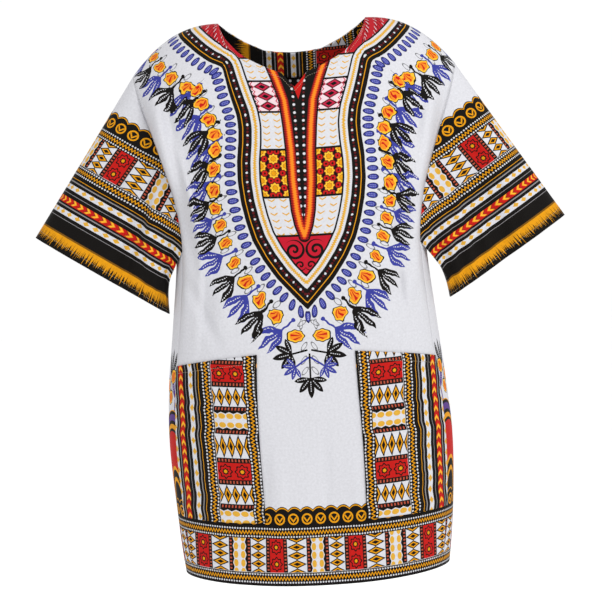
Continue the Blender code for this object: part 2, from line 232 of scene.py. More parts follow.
LEFT_SLEEVE_CREASES = [
    (0.12, 0.20, -0.1, 0.9, 0.022, -3.4),
    (0.20, 0.33, -0.1, 1.1, 0.030, -7.0),
    (0.30, 0.41, 0.1, 1.4, 0.032, 5.0),
    (0.36, 0.44, -0.1, 0.8, 0.020, -3.0),
    (0.64, 0.58, -0.1, 1.0, 0.026, -3.6),
    (0.80, 0.72, 0.0, 1.2, 0.024, -3.0),
    (0.16, 0.15, 0.6, 1.4, 0.030, -2.2),
]
RIGHT_SLEEVE_CREASES = [
    (0.14, 0.22, -0.1, 0.9, 0.022, -3.2),
    (0.24, 0.30, -0.1, 1.2, 0.028, -7.0),
    (0.34, 0.42, 0.0, 1.4, 0.034, 5.0),
    (0.38, 0.45, -0.1, 0.9, 0.020, -3.2),
    (0.66, 0.60, -0.1, 1.1, 0.026, -3.4),
    (0.82, 0.74, 0.0, 1.3, 0.024, -3.0),
    (0.18, 0.12, 0.5, 1.4, 0.028, -2.6),
]

# Patch pockets and the facing, in shares of the panels' half width and heights
POCKET_INNER = 0.235
POCKET_FOOT = 0.186
POCKET_MOUTH_INNER, POCKET_MOUTH_OUTER = -481.0, -494.0
FACING_LEVEL = 0.89

# Grids: columns from the middle to the side, columns round the side, rows below and above the
# armpit, rings along a sleeve and rows up a pocket
PANEL_COLUMNS = 68
SIDE_COLUMNS = 18
ROWS_BELOW, ROWS_ABOVE = 140, 104
SLEEVE_RINGS = 84
POCKET_ROWS = 80

# Points this near each other are one, and columns this far past an edge still lie on it
TOUCHING = 1e-6
EDGE_MARGIN = 0.001

# Stitching: its threads, with their fluffs and radians of twist in a millimetre and the relief of
# that twist, and the rows and rings of the grids that it follows
STITCH_PITCH, STITCH_LONG = 3.4, 2.6
THREAD_HALF, THREAD_RISE = 0.3, 0.1
FLUFF, TWIST, TWIST_RELIEF = 9 / 10, 7.0, 0.2
HEM_STITCH_ROW, NECK_STITCH_ROW, CUFF_STITCH_ROW, POCKET_HEM_ROW = 5, 4, 5, 5

# The print, in millimetres on the flat cloth: out from its middle, and up from the hem
FRONT_MIDDLE, BACK_MIDDLE = 5.0, 0.0
OUTLINE_COLUMNS = ("out", "up")
FRONT_OUTLINE = [
    (0, 381), (20, 403), (40, 425), (58, 451), (72, 478), (80, 504), (86, 531), (89.5, 560),
    (89.5, 588), (87, 615), (86.5, 638), (89.5, 657), (98, 682), (106, 707), (113.5, 731),
    (134, 741), (153, 756), (170, 772), (190, 792), (225, 834),
]
BACK_OUTLINE = [
    (0, 560), (22, 584), (42, 608), (58, 636), (68, 664), (74, 690), (84, 712), (104, 732),
    (135, 750), (170, 770), (240, 820),
]
STRIPE_COLUMNS = ("up", "out")
FRONT_STRIPE = [
    (483, 0), (497, 5), (518, 9), (560, 12.5), (603, 13.5), (640, 16.5), (678, 21), (709, 31),
    (760, 50),
]
BACK_STRIPE = [(640, 0), (660, 7), (690, 12), (720, 16), (770, 26)]
DOTS_SHARE = 0.34
SLEEVE_ROUND = 480.0
FACING_START = 126.0
HEM_BORDER = 110.5
BACK_SHIFT = -157.0
POCKET_BORDER_START = {"pocket_right": -48.0, "pocket_left": -38.0}
POCKET_SQUARE = {"pocket_right": 293.9, "pocket_left": 287.7}
POCKET_STRETCH, HEM_STRETCH, HEM_SHIFT = 1.17, 0.948, 12.5
SQUARE_IN_BORDER = 69.0
SMOOTHING = 9.0
TURNING = 20

# Patterns of the cloth: the spacing and relief of its threads, then so many in so many millimetres
THREAD_PITCH, WEAVE_RELIEF = 1.2, 0.25
SLUBS = 1 / 20
MOTTLES = 3 / 10
WANDERS = 3 / 40
FRINGE_THREADS = 11 / 20
PULLS = 9 / 200

# The ring of motifs round the yoke: drops square to the outline, then sprigs that slant
FAN = 45.0
DROP_REACH = 20.0
RING_REACH = 96.0
NET_STEP = 1.5
PAST_NET = (-3, 40)
NARROWEST = 0.05
TURN_COLUMNS = ("along", "turn")
SPRIG_TURN = [
    (0, 0), (15, 50), (32, 47), (60, 44), (90, 50), (125, 66), (170, 66), (240, 52), (330, 46),
    (430, 44), (560, 50),
]


def named(names, row):
    """A table's row with its columns as names."""
    return SimpleNamespace(**dict(zip(names, row)))


def column(rows, names, name):
    """One named column of a table, as numbers."""
    return np.array([row[names.index(name)] for row in rows], float)


def eased(rows, names, name, at):
    """A column read between its rows on a smooth curve. The first column says where each row is."""
    places = column(rows, names, names[0])
    values = column(rows, names, name)
    at = np.clip(at, places[0], places[-1])
    slopes = np.gradient(values, places)
    low = np.clip(np.searchsorted(places, at, side="right") - 1, 0, len(places) - 2)
    span = places[low + 1] - places[low]
    t = (at - places[low]) / span
    return (
        (2 * t**3 - 3 * t**2 + 1) * values[low]
        + (t**3 - 2 * t**2 + t) * span * slopes[low]
        + (3 * t**2 - 2 * t**3) * values[low + 1]
        + (t**3 - t**2) * span * slopes[low + 1]
    )


def shoulder_line(out):
    """The height of the shoulder line at a distance out from the middle."""
    fall = np.clip((np.abs(out) - NECK_HALF) / (TIP_HALF - NECK_HALF), 0, None)
    return TIP * fall**SHOULDER_FALL


def top_edge(out, neck):
    """The upper edge of a panel: the neck edge in the middle, and the shoulder line beyond it."""
    out = np.abs(out)
    edge = np.interp(out, column(neck, NECK_COLUMNS, "out"), column(neck, NECK_COLUMNS, "height"))
    return np.where(out < NECK_HALF, edge, shoulder_line(out))


def falling(out, height, facing):
    """How full the cloth is below the shoulder line, from 0 on the line to 1."""
    fall, fullness = (FRONT_FALL, FRONT_FULLNESS) if facing < 0 else (BACK_FALL, BACK_FULLNESS)
    drop = np.clip((shoulder_line(out) - height) / fall, 0, 1)
    return (1 - (1 - drop) ** 2) ** fullness


def body_row(size, level, facing):
    """One row of a panel below the armpit: how far out, how far toward its face, and how high."""
    height = HEM + (ARMPIT - HEM) * level
    half, front, back, seam = (
        eased(BODY, BODY_COLUMNS, name, height) for name in ("half_width", "front", "back", "seam")
    )
    seam_turn = math.acos(seam ** (ROUNDNESS / 2))
    if facing < 0:
        turn = size * seam_turn
    else:
        beyond = np.clip(size - 1, 0, 1)
        turn = np.clip(size, 0, 1) * math.pi / 2 + beyond * (math.pi / 2 - seam_turn)
    out = half * np.sin(turn) ** (2 / ROUNDNESS)
    before = np.cos(turn) * facing < 0
    toward = np.abs(np.cos(turn)) ** (2 / ROUNDNESS)
    depth = np.where(before, front * falling(out, height, -1), back * falling(out, height, 1))
    face = np.where(before, -1, 1) * facing
    rise = HEM_SIDE_RISE * (1 - level) * (out / half) ** 2
    return out, toward * depth * face, height + rise


def shoulder_row(size, level, facing, neck):
    """One row of a panel above the armpit, between its two armholes."""
    side = "front" if facing < 0 else "back"
    seam_height = ARMPIT + (TIP - ARMPIT) * level
    seam_out = eased(ARMHOLE, ARMHOLE_COLUMNS, side + "_out", seam_height)
    armpit_out = body_row(size, 1.0, facing)[0]
    straight = min(1.0, level / SPREADING)
    straight = straight**2 * (3 - 2 * straight)
    out = seam_out * (armpit_out / armpit_out[-1] * (1 - straight) + size * straight)
    height = ARMPIT + (top_edge(size * TIP_HALF, neck) - ARMPIT) * level
    depth = eased(BODY, BODY_COLUMNS, side, height)
    edge = eased(ARMHOLE, ARMHOLE_COLUMNS, side + "_out", height)
    share = np.clip(eased(ARMHOLE, ARMHOLE_COLUMNS, side + "_share", height), 0, 1)
    reach = (1 - share**ROUNDNESS) ** (1 / ROUNDNESS)
    across = np.clip(reach * out / edge, 0, 1)
    toward = (1 - across**ROUNDNESS) ** (1 / ROUNDNESS)
    return out, toward * depth * falling(out, height, facing), height


def fold_rise(folds, out, height):
    """How far the long folds lift the cloth off its smooth form."""
    rise = np.zeros_like(out)
    for row in folds:
        fold = named(FOLD_COLUMNS, row)
        length = fold.top - fold.foot
        along = np.clip((fold.top - height) / length, 0, 1)
        middle = fold.top_out + (fold.foot_out - fold.top_out) * along
        across = np.clip(np.abs(out - middle) / fold.half, 0, 1)
        ends = np.minimum(fold.top - height, height - fold.foot)
        fade = np.clip(ends / (FOLD_FADE * length), 0, 1)
        rise += fold.rise * (1 - across**2) ** 2 * fade * fade * (3 - 2 * fade)
    return rise


def roll_shift(out, height):
    """The roll beside each armhole: how far it stands forward, and how far it leans outward."""
    middle = eased(ROLL, ROLL_COLUMNS, "middle", height)
    rise = np.where(
        out < 0,
        eased(ROLL, ROLL_COLUMNS, "rise_right", height),
        eased(ROLL, ROLL_COLUMNS, "rise_left", height),
    )
    place = np.clip((np.abs(out) - middle) / ROLL_HALF, -1, 1)
    forward = rise * (1 - place**4) ** 1.5
    outer = np.clip((place + LEAN_START) / (1 + LEAN_START), 0, 1) ** 1.6
    return forward, rise * ROLL_LEAN * np.sin(math.pi * outer) * np.sign(out)


def even_shares(facing):
    """Shares of the half width whose columns lie evenly along the cloth at the armpit."""
    size = np.linspace(0, 1, 600)
    out, toward, _ = body_row(size, 1.0, facing)
    reach = np.concatenate([[0], np.cumsum(np.hypot(np.diff(out), np.diff(toward)))])
    even = np.interp(np.linspace(0, reach[-1], PANEL_COLUMNS + 1), reach, size)
    if facing > 0:
        even = np.concatenate([even, np.linspace(1, 2, SIDE_COLUMNS + 1)[1:]])
    return np.concatenate([-even[:0:-1], even])


def panel_points(share, facing, neck, folds):
    """The outer face of the front (-1) or the back (1): rows from the hem up, columns across."""
    size = np.abs(share)
    rows = [body_row(size, level, facing) for level in np.linspace(0, 1, ROWS_BELOW + 1)]
    within = size <= 1
    for level in np.linspace(0, 1, ROWS_ABOVE + 1)[1:]:
        row = np.full((3, len(size)), np.nan)
        row[:, within] = shoulder_row(size[within], level, facing, neck)
        rows.append(row)
    points = []
    for out, depth, height in rows:
        signed = out * np.sign(share)
        hang = np.sqrt(np.clip(depth / FOLDING_DEPTH, 0, 1))
        depth = depth + fold_rise(folds, signed, height) * hang
        if facing < 0:
            forward, outward = roll_shift(signed, height)
            depth = depth + forward * hang
            signed = signed + outward * hang
        signed = signed + eased(BODY, BODY_COLUMNS, "sway", height)
        points.append(np.stack([signed, facing * depth, height], axis=-1))
    return np.array(points)


def slopes(points):
    """The step between the points before and after each one, or to the only one there is."""
    ahead = np.full_like(points, np.nan)
    ahead[:-1] = points[1:] - points[:-1]
    behind = np.full_like(points, np.nan)
    behind[1:] = ahead[:-1]
    only_behind = np.isnan(ahead)
    only_ahead = np.isnan(behind)
    ahead[only_behind] = behind[only_behind]
    behind[only_ahead] = ahead[only_ahead]
    return ahead + behind


def faces_out(points):
    """Unit normals of a grid of points, from the points on either side of each."""
    up = slopes(points)
    over = slopes(points.transpose(1, 0, 2)).transpose(1, 0, 2)
    normal = np.cross(over, up)
    return normal / np.linalg.norm(normal, axis=-1, keepdims=True)


def sleeve_points(armhole, side, cuff, folds):
    """Rings from the armhole to the cuff. Each ring runs shoulder, front, underarm, back."""
    steps = np.linalg.norm(np.diff(np.vstack([armhole, armhole[:1]]), axis=0), axis=1)
    place = np.concatenate([[0], np.cumsum(steps)[:-1]]) / steps.sum()
    angle = 2 * math.pi * place
    cuff = named(CUFF_COLUMNS, cuff)
    middle_out, middle = (cuff.top_out + cuff.under_out) / 2, (cuff.top + cuff.under) / 2
    cuff_ring = np.stack(
        [
            side * (middle_out + (cuff.top_out - middle_out) * np.cos(angle)),
            -cuff.depth * np.sign(np.sin(angle)) * np.abs(np.sin(angle)) ** CUFF_SQUARENESS,
            middle + (cuff.top - middle) * np.cos(angle),
        ],
        axis=-1,
    )
    rings = []
    for along in np.linspace(0, 1, SLEEVE_RINGS):
        ring = armhole * (1 - along) + cuff_ring * along
        ring[:, 0] += side * UNDER_PUFF * math.sin(math.pi * along) * np.clip(-np.cos(angle), 0, 1) ** 2
        rise = np.zeros_like(place)
        for row in folds:
            fold = named(SLEEVE_FOLD_COLUMNS, row)
            centre = fold.start_round + (fold.end_round - fold.start_round) * along
            across = np.clip(np.abs(place - centre) / fold.half, 0, 1)
            fade = np.clip(min(along - fold.start, fold.end - along) / FOLD_FADE, 0, 1)
            rise += fold.rise * (1 - across**2) ** 2 * fade * min(1.0, along / FOLD_FADE)
        ring[:, 1] -= rise * np.sign(np.sin(angle))
        rings.append(ring)
    return np.array(rings), place


def lengths(points, axis, sides):
    """Lengths along a grid's rows (axis 1) or columns (axis 0), in the given directions of space."""
    steps = np.linalg.norm(np.diff(points[..., sides], axis=axis), axis=-1)
    start = np.zeros_like(steps[:, :1]) if axis else np.zeros_like(steps[:1])
    return np.concatenate([start, np.nancumsum(steps, axis=axis)], axis=axis)


def panel_places(points):
    """The print's place on a panel: how far from its middle, and how far up from its hem."""
    across = lengths(points, 1, [0, 1])
    middle = across.shape[1] // 2
    across = across - across[:, middle : middle + 1]
    up = lengths(points, 0, [1, 2])
    return np.stack([across, up, np.zeros_like(up)], axis=-1)


def along_line(rows, names, step):
    """Points a step apart along a table's line, smoothed but with its ends kept."""
    line = np.stack([column(rows, names, name) for name in names], axis=-1)
    reach = np.concatenate([[0], np.cumsum(np.linalg.norm(np.diff(line, axis=0), axis=1))])
    even = np.arange(0, reach[-1], step)
    line = np.stack([np.interp(even, reach, line[:, axis]) for axis in range(2)], axis=-1)
    spread = int(SMOOTHING / step)
    before = 2 * line[0] - line[spread:0:-1]
    after = 2 * line[-1] - line[-2 : -spread - 2 : -1]
    weights = np.hanning(2 * spread + 1)
    weights = weights / weights.sum()
    padded = np.concatenate([before, line, after])
    line = np.stack([np.convolve(padded[:, axis], weights, "valid") for axis in range(2)], axis=-1)
    return even, line


def nearest(points):
    """A tree that finds the nearest of the points to a place."""
    tree = kdtree.KDTree(len(points))
    for number, point in enumerate(points):
        tree.insert((point[0], point[1], 0), number)
    tree.balance()
    return tree


def yoke_places(places, outline, middle):
    """Where each point lies by the yoke: along its outline from the tip, and out from it.

    Inside the outline, out is below zero. The second result is how wide and how slanting the
    motifs of the ring lie there.
    """
    shape = places.shape[:2]
    flat = np.stack([np.abs(places[..., 0] - middle), places[..., 1]], axis=-1).reshape(-1, 2)
    along, line = along_line(outline, OUTLINE_COLUMNS, NET_STEP)
    way = np.gradient(line, axis=0)
    way = way / np.linalg.norm(way, axis=1, keepdims=True)
    square = np.stack([way[:, 1], -way[:, 0]], axis=-1)
    # Past a corner of the outline the motifs turn little by little
    ends = np.pad(square, ((TURNING, TURNING), (0, 0)), mode="edge")
    share = np.hanning(2 * TURNING + 1) / TURNING
    square = np.stack([np.convolve(ends[:, axis], share, "valid") for axis in range(2)], axis=-1)
    # Near the tip the motifs fan out from straight down
    fan = np.clip(along / FAN, 0, 1)[:, None]
    fan = fan * fan * (3 - 2 * fan)
    square = square * fan + np.array([0.0, -1.0]) * (1 - fan)
    square = square / np.linalg.norm(square, axis=1, keepdims=True)
    angle = np.radians(eased(SPRIG_TURN, TURN_COLUMNS, "turn", along))
    slanted = np.stack([np.sin(angle), -np.cos(angle)], axis=-1)
    out = np.arange(0, RING_REACH, NET_STEP)
    near, far = np.minimum(out, DROP_REACH), np.maximum(out - DROP_REACH, 0)
    net = line[:, None] + near[:, None] * square[:, None] + far[:, None] * slanted[:, None]
    step_along = np.gradient(net, NET_STEP, axis=0)
    step_out = np.gradient(net, NET_STEP, axis=1)
    tree, edge = nearest(net.reshape(-1, 2)), nearest(line)
    result = np.zeros((len(flat), 3))
    spread = np.zeros((len(flat), 3))
    inside = (flat[:, 0] < np.interp(flat[:, 1], line[:, 1], line[:, 0])) & (flat[:, 1] > line[0, 1])
    for number, point in enumerate(flat):
        if math.isnan(point[0]):
            continue
        if inside[number]:
            _, found, distance = edge.find((point[0], point[1], 0))
            result[number, :2] = along[found], -distance
            spread[number, :2] = 1, 0
            continue
        _, found, _ = tree.find((point[0], point[1], 0))
        i, j = divmod(found, len(out))
        steps = np.stack([step_along[i, j], step_out[i, j]], axis=-1)
        offset = np.linalg.solve(steps, point - net[i, j])
        offset = np.clip(offset, *PAST_NET)
        result[number, :2] = along[i] + offset[0], out[j] + offset[1]
        width = np.linalg.norm(steps[:, 0])
        lean = steps[:, 0] @ steps[:, 1] / np.linalg.norm(steps[:, 1])
        spread[number, :2] = math.sqrt(max(width**2 - lean**2, NARROWEST)), lean
    return result.reshape(*shape, 3), spread.reshape(*shape, 3)


def middle_places(places, stripe, middle):
    """How far each point lies outside the middle stripes, and outside the dots between them."""
    signed, up = places[..., 0] - middle, places[..., 1]
    out = np.abs(signed)
    half = np.interp(up, column(stripe, STRIPE_COLUMNS, "up"), column(stripe, STRIPE_COLUMNS, "out"))
    foot = stripe[0][0]
    beyond = np.where(up < foot, np.hypot(out, foot - up), out - half)
    return np.stack([beyond, out - DOTS_SHARE * half, signed], axis=-1)


def panel_prints(points, outline, stripe, middle):
    """All the places that a panel's print goes by, by name."""
    places = panel_places(points)
    ring, wide = yoke_places(places, outline, middle)
    core = middle_places(places, stripe, middle)
    return {"cloth": places, "ring": ring, "wide": wide, "core": core}


def placed(name, bm):
    """Set a bmesh in the scene as a piece of its own, at the origin."""
    mesh = bpy.data.meshes.new(name)
    bm.to_mesh(mesh)
    bm.free()
    piece = bpy.data.objects.new(name, mesh)
    bpy.context.scene.collection.objects.link(piece)
    return piece


def cloth(name, outer, places, turned=False, ring=False):
    """A thin shell whose outer face is a grid laid on the points, with its print's places.

    places gives the print's coordinates at each point by name. Where a point is not a number,
    the cloth is cut away. In a ring the last column meets the first.
    """
    rows, columns = outer.shape[:2]
    bm = bmesh.new()
    bmesh.ops.create_grid(bm, x_segments=columns - 1, y_segments=rows - 1, size=1)
    for vert, point in zip(bm.verts, outer.reshape(-1, 3) * MM):
        vert.co = point
    bm.verts.index_update()
    for label, values in places.items():
        layer = bm.loops.layers.float_vector.new(label)
        values = [Vector(value) for value in values.reshape(-1, 3)]
        for face in bm.faces:
            for corner in face.loops:
                corner[layer] = values[corner.vert.index]
    empty = [vert for vert in bm.verts if math.isnan(vert.co.x)]
    bmesh.ops.delete(bm, geom=empty, context="VERTS")
    if ring:
        bmesh.ops.remove_doubles(bm, verts=bm.verts, dist=TOUCHING)
    if turned:
        bmesh.ops.reverse_faces(bm, faces=bm.faces)
    for face in bm.faces:
        face.smooth = True
    piece = placed(name, bm)
    shell = piece.modifiers.new("shell", "SOLIDIFY")
    shell.thickness = SHELL * MM
    shell.offset = -1
    shell.use_even_offset = True
    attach(piece, "root")
    return piece


stitchings = []


def row_of_stitches(name, path, faces):
    """A row of stitches along a path on the cloth, one small thread after another."""
    path = path + faces * THREAD_RISE
    reach = np.concatenate([[0], np.cumsum(np.linalg.norm(np.diff(path, axis=0), axis=1))])
    bm = bmesh.new()
    for middle in np.arange(STITCH_PITCH, reach[-1] - STITCH_PITCH, STITCH_PITCH):
        ends = [
            Vector([np.interp(middle + step, reach, path[:, axis]) for axis in range(3)])
            for step in (-STITCH_LONG / 2, STITCH_LONG / 2)
        ]
        face = Vector([np.interp(middle, reach, faces[:, axis]) for axis in range(3)])
        way = (ends[1] - ends[0]).normalized()
        side = face.cross(way).normalized()
        turn = Matrix((way, side, way.cross(side))).transposed().to_4x4()
        size = Matrix.Diagonal((STITCH_LONG / 2 * MM, THREAD_HALF * MM, THREAD_HALF * MM, 1))
        place = Matrix.Translation((ends[0] + ends[1]) / 2 * MM)
        stitch = bmesh.ops.create_icosphere(bm, subdivisions=1, radius=1)
        bmesh.ops.transform(bm, matrix=place @ turn @ size, verts=stitch["verts"])
    for face in bm.faces:
        face.smooth = True
    piece = placed(name, bm)
    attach(piece, "root")
    stitchings.append(piece)


# Front and back
front_share, back_share = even_shares(-1), even_shares(1)
front = panel_points(front_share, -1, FRONT_NECK, FRONT_FOLDS + FRONT_CREASES)
back = panel_points(back_share, 1, BACK_NECK, BACK_FOLDS + BACK_CREASES)
front_out, back_out = faces_out(front), -faces_out(back)

front_prints = panel_prints(front, FRONT_OUTLINE, FRONT_STRIPE, FRONT_MIDDLE)
back_prints = panel_prints(back, BACK_OUTLINE, BACK_STRIPE, BACK_MIDDLE)
front_places, back_places = front_prints["cloth"], back_prints["cloth"]
back_edge = float(np.nanmax(back_places[0, :, 0]))
front_piece = cloth("front_of_printed_cotton", front, front_prints)
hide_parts("front_panel")
back_piece = cloth("back_of_printed_cotton", back, back_prints, turned=True)
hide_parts("back_panel")

# Sleeves
sleeve_pieces = {}
for name, side, cuff, folds in (
    ("sleeve_left", 1, LEFT_CUFF, LEFT_SLEEVE_FOLDS + LEFT_SLEEVE_CREASES),
    ("sleeve_right", -1, RIGHT_CUFF, RIGHT_SLEEVE_FOLDS + RIGHT_SLEEVE_CREASES),
):
    front_column = len(front_share) - 1 if side > 0 else 0
    side_column = len(back_share) - 1 - SIDE_COLUMNS if side > 0 else SIDE_COLUMNS
    front_seam = front[:ROWS_BELOW - 1:-1, front_column]
    under = back[ROWS_BELOW, side_column + side : side_column + side * SIDE_COLUMNS : side][::-1]
    back_seam = back[ROWS_BELOW:-1, side_column]
    armhole = np.concatenate([front_seam, under, back_seam])
    rings, place = sleeve_points(armhole, side, cuff, folds)
    rings = np.concatenate([rings, rings[:, :1]], axis=1)
    place = np.append(place, 1.0)
    up = lengths(rings[::-1], 0, [0, 1, 2])[::-1]
    around = np.broadcast_to(place * SLEEVE_ROUND, up.shape)
    places = np.stack([around, up, np.zeros_like(up)], axis=-1)
    piece = cloth(name + "_of_printed_cotton", rings, {"cloth": places}, turned=side < 0, ring=True)
    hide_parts(name)
    sleeve_pieces[name] = piece

    cuff_row = rings[-CUFF_STITCH_ROW]
    middle = cuff_row.mean(axis=0)
    outward = (cuff_row - middle) / np.linalg.norm(cuff_row - middle, axis=1, keepdims=True)
    row_of_stitches("stitching_of_" + name, cuff_row, outward)

# Patch pockets, laid on the front's own points and cut along their sloping mouths
pocket_pieces = {}
for name, side in (("pocket_left", 1), ("pocket_right", -1)):
    share = side * front_share
    chosen = np.flatnonzero(share > POCKET_INNER - EDGE_MARGIN)
    slope = (share[chosen] - POCKET_INNER) / (1 - POCKET_INNER)
    mouth = POCKET_MOUTH_INNER + (POCKET_MOUTH_OUTER - POCKET_MOUTH_INNER) * slope
    grids = []
    for source in (front, front_out, front_places):
        columns = []
        for number, i in enumerate(chosen):
            heights = front[:, i, 2]
            low = np.interp(POCKET_FOOT * ROWS_BELOW, np.arange(len(heights)), heights)
            wanted = np.linspace(low, mouth[number], POCKET_ROWS)
            columns.append([np.interp(wanted, heights, source[:, i, axis]) for axis in range(3)])
        grids.append(np.array(columns).transpose(2, 0, 1))
    points, normals, places = grids
    points = points + normals * (POCKET_GAP + WALL)
    piece = cloth(name + "_of_printed_cotton", points, {"cloth": places})
    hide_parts(name)
    pocket_pieces[name] = piece
    inner = 1 if side > 0 else -2
    for part, line in (("inner", np.s_[:, inner]), ("mouth", np.s_[-POCKET_HEM_ROW, :])):
        row = "stitching_of_" + name + "_" + part
        row_of_stitches(row, points[line], normals[line])

# Facing inside the back of the neck
chosen = np.abs(back_share) < NECK_HALF / TIP_HALF + EDGE_MARGIN
first = ROWS_BELOW + int(FACING_LEVEL * ROWS_ABOVE)
points = (back - back_out * (WALL + SEAM_GAP))[first:, chosen]
facing_places = back_places[first:, chosen]
facing_piece = cloth("neck_facing_of_printed_cotton", points, {"cloth": facing_places}, turned=True)
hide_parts("neck_facing")

# Stitching along the hem and the neck
for name, points, faces in (("front", front, front_out), ("back", back, back_out)):
    row = "stitching_of_" + name + "_hem"
    row_of_stitches(row, points[HEM_STITCH_ROW], faces[HEM_STITCH_ROW])
for name, points, faces, share in (
    ("front", front, front_out, front_share), ("back", back, back_out, back_share),
):  # fmt: skip
    within = np.abs(share) < NECK_HALF / TIP_HALF
    line = np.s_[-NECK_STITCH_ROW, within]
    row_of_stitches("stitching_of_" + name + "_neck", points[line], faces[line])

# Inks and cloth, as they look in plain light
COTTON = "#D7D7DC"
BLACK = "#120F0D"
GOLD = "#E39A12"
PALE_GOLD = "#DDA93C"
RED = "#C01A15"
CRIMSON = "#BE2446"
BLUE = "#3B4098"
INDIGO = "#23255C"
PALE_BLUE = "#989CD4"
ORANGE = "#F08A22"
YELLOW = "#F7BE33"
MAROON = "#5C161A"
GREY = "#8D8A8C"
BROWN = "#7A5212"
VIOLET = "#5B3C86"


def colour(value):
    """An sRGB hex colour as the linear one that shaders use."""
    parts = [int(value[i : i + 2], 16) / 255 for i in (1, 3, 5)]
    return (*[c / 12.92 if c <= 0.04045 else ((c + 0.055) / 1.055) ** 2.4 for c in parts], 1)


def node(tree, kind, *links, stops=(), **settings):
    """Add a node with its settings, and link or set its inputs in their order. None leaves one."""
    made = tree.nodes.new("ShaderNode" + kind)
    for name, value in settings.items():
        setattr(made, name, value)
    for number, (place, ink) in enumerate(stops):
        slots = made.color_ramp.elements
        slot = slots[number] if number < 2 else slots.new(place)
        slot.position = place
        slot.color = colour(ink)
    if stops:
        made.color_ramp.interpolation = "CONSTANT"
    for socket, link in zip(made.inputs, links):
        if isinstance(link, bpy.types.Node):
            link = link.outputs[0]
        if isinstance(link, bpy.types.NodeSocket):
            tree.links.new(link, socket)
        elif isinstance(link, str):
            socket.default_value = colour(link)
        elif link is not None:
            socket.default_value = link
    return made


def motif(name, inks, sizes):
    """A node group that prints one motif: it is given cloth, inks and sizes, and gives the print."""
    tree = bpy.data.node_groups.new(name, "ShaderNodeTree")
    for label in inks:
        tree.interface.new_socket(label, in_out="INPUT", socket_type="NodeSocketColor")
    for label in sizes:
        tree.interface.new_socket(label, in_out="INPUT", socket_type="NodeSocketFloat")
    tree.interface.new_socket("print", in_out="OUTPUT", socket_type="NodeSocketColor")
    given = tree.nodes.new("NodeGroupInput")
    return tree, SimpleNamespace(**{label: given.outputs[label] for label in [*inks, *sizes]})


def printed(tree, result):
    """Make a node the group's result."""
    end = tree.nodes.new("NodeGroupOutput")
    tree.links.new(result.outputs[0], end.inputs[0])
    return tree


def away_from(tree, x, y):
    """How far a place lies from where x and y are both 0."""
    place = node(tree, "CombineXYZ", x, y)
    return node(tree, "VectorMath", place, operation="LENGTH").outputs["Value"]


def folded(tree, value, pitch):
    """How far a value lies from the nearest repeat, from 0 on it to 1 half-way to the next."""
    half = node(tree, "Math", pitch, 0.5, operation="MULTIPLY")
    near = node(tree, "Math", value, half, operation="PINGPONG")
    return node(tree, "Math", near, half, operation="DIVIDE")


def inlaid(tree, cloth, reach, *inks):
    """Lay inks one inside the other, each wherever reach is less than its limit."""
    for limit, ink in inks:
        inked = node(tree, "Math", reach, limit, operation="LESS_THAN")
        cloth = node(tree, "MixRGB", inked, cloth, ink)
    return cloth


def by_the_nearest(tree, at, along, out, pitch):
    """Where a place lies by the nearest of a row of motifs round the yoke, along and out from it."""
    step = node(tree, "Math", along, pitch / 2, -pitch / 2, operation="WRAP")
    x = node(tree, "Math", step, at.wide, operation="MULTIPLY")
    return x, node(tree, "Math", step, at.lean, out, operation="MULTIPLY_ADD")


# A stripe between two levels
t, at = motif("stripe", ["cloth", "ink"], ["across", "start", "end"])
after = node(t, "Math", at.across, at.start, operation="GREATER_THAN")
before = node(t, "Math", at.across, at.end, operation="LESS_THAN")
both = node(t, "Math", after, before, operation="MULTIPLY")
stripe = printed(t, node(t, "MixRGB", both, at.cloth, at.ink))

# A row of round dots
t, at = motif("dots", ["cloth", "ink"], ["along", "across", "pitch", "level", "radius"])
half = node(t, "Math", at.pitch, 0.5, operation="MULTIPLY")
x = node(t, "Math", at.along, half, operation="PINGPONG")
y = node(t, "Math", at.across, at.level, operation="SUBTRACT")
dots = printed(t, inlaid(t, at.cloth, away_from(t, x, y), (at.radius, at.ink)))

# A zigzag line
t, at = motif("zigzag", ["cloth", "ink"], ["along", "across", "pitch", "level", "height", "line"])
swing = node(t, "Math", folded(t, at.along, at.pitch), -0.5, operation="ADD")
middle = node(t, "Math", swing, at.height, at.level, operation="MULTIPLY_ADD")
inked = node(t, "Math", at.across, middle, at.line, operation="COMPARE")
zigzag = printed(t, node(t, "MixRGB", inked, at.cloth, at.ink))

# Diamonds in a lattice, each with a heart and an outline
t, at = motif("diamonds", ["cloth", "line", "ring", "heart"], ["along", "across", "width", "height"])
x = folded(t, at.along, at.width)
y = folded(t, at.across, at.height)
away = node(t, "Math", x, y, operation="ADD")
diamonds = printed(t, inlaid(t, at.cloth, away, (1.02, at.line), (0.74, at.ring), (0.42, at.heart)))

# Small open chevrons in rows
t, at = motif("chevrons", ["cloth", "ink"], ["along", "across", "width", "height"])
half = node(t, "Math", at.width, 0.5, operation="MULTIPLY")
x = node(t, "Math", at.across, half, operation="PINGPONG")
slant = node(t, "Math", x, -0.6, at.along, operation="MULTIPLY_ADD")
half = node(t, "Math", at.height, 0.5, operation="MULTIPLY")
y = node(t, "Math", slant, half, operation="PINGPONG")
near = node(t, "Math", y, 1.0, operation="LESS_THAN")
short = node(t, "Math", at.width, 0.3, operation="MULTIPLY")
within = node(t, "Math", x, short, operation="LESS_THAN")
inked = node(t, "Math", near, within, operation="MULTIPLY")
chevrons = printed(t, node(t, "MixRGB", inked, at.cloth, at.ink))

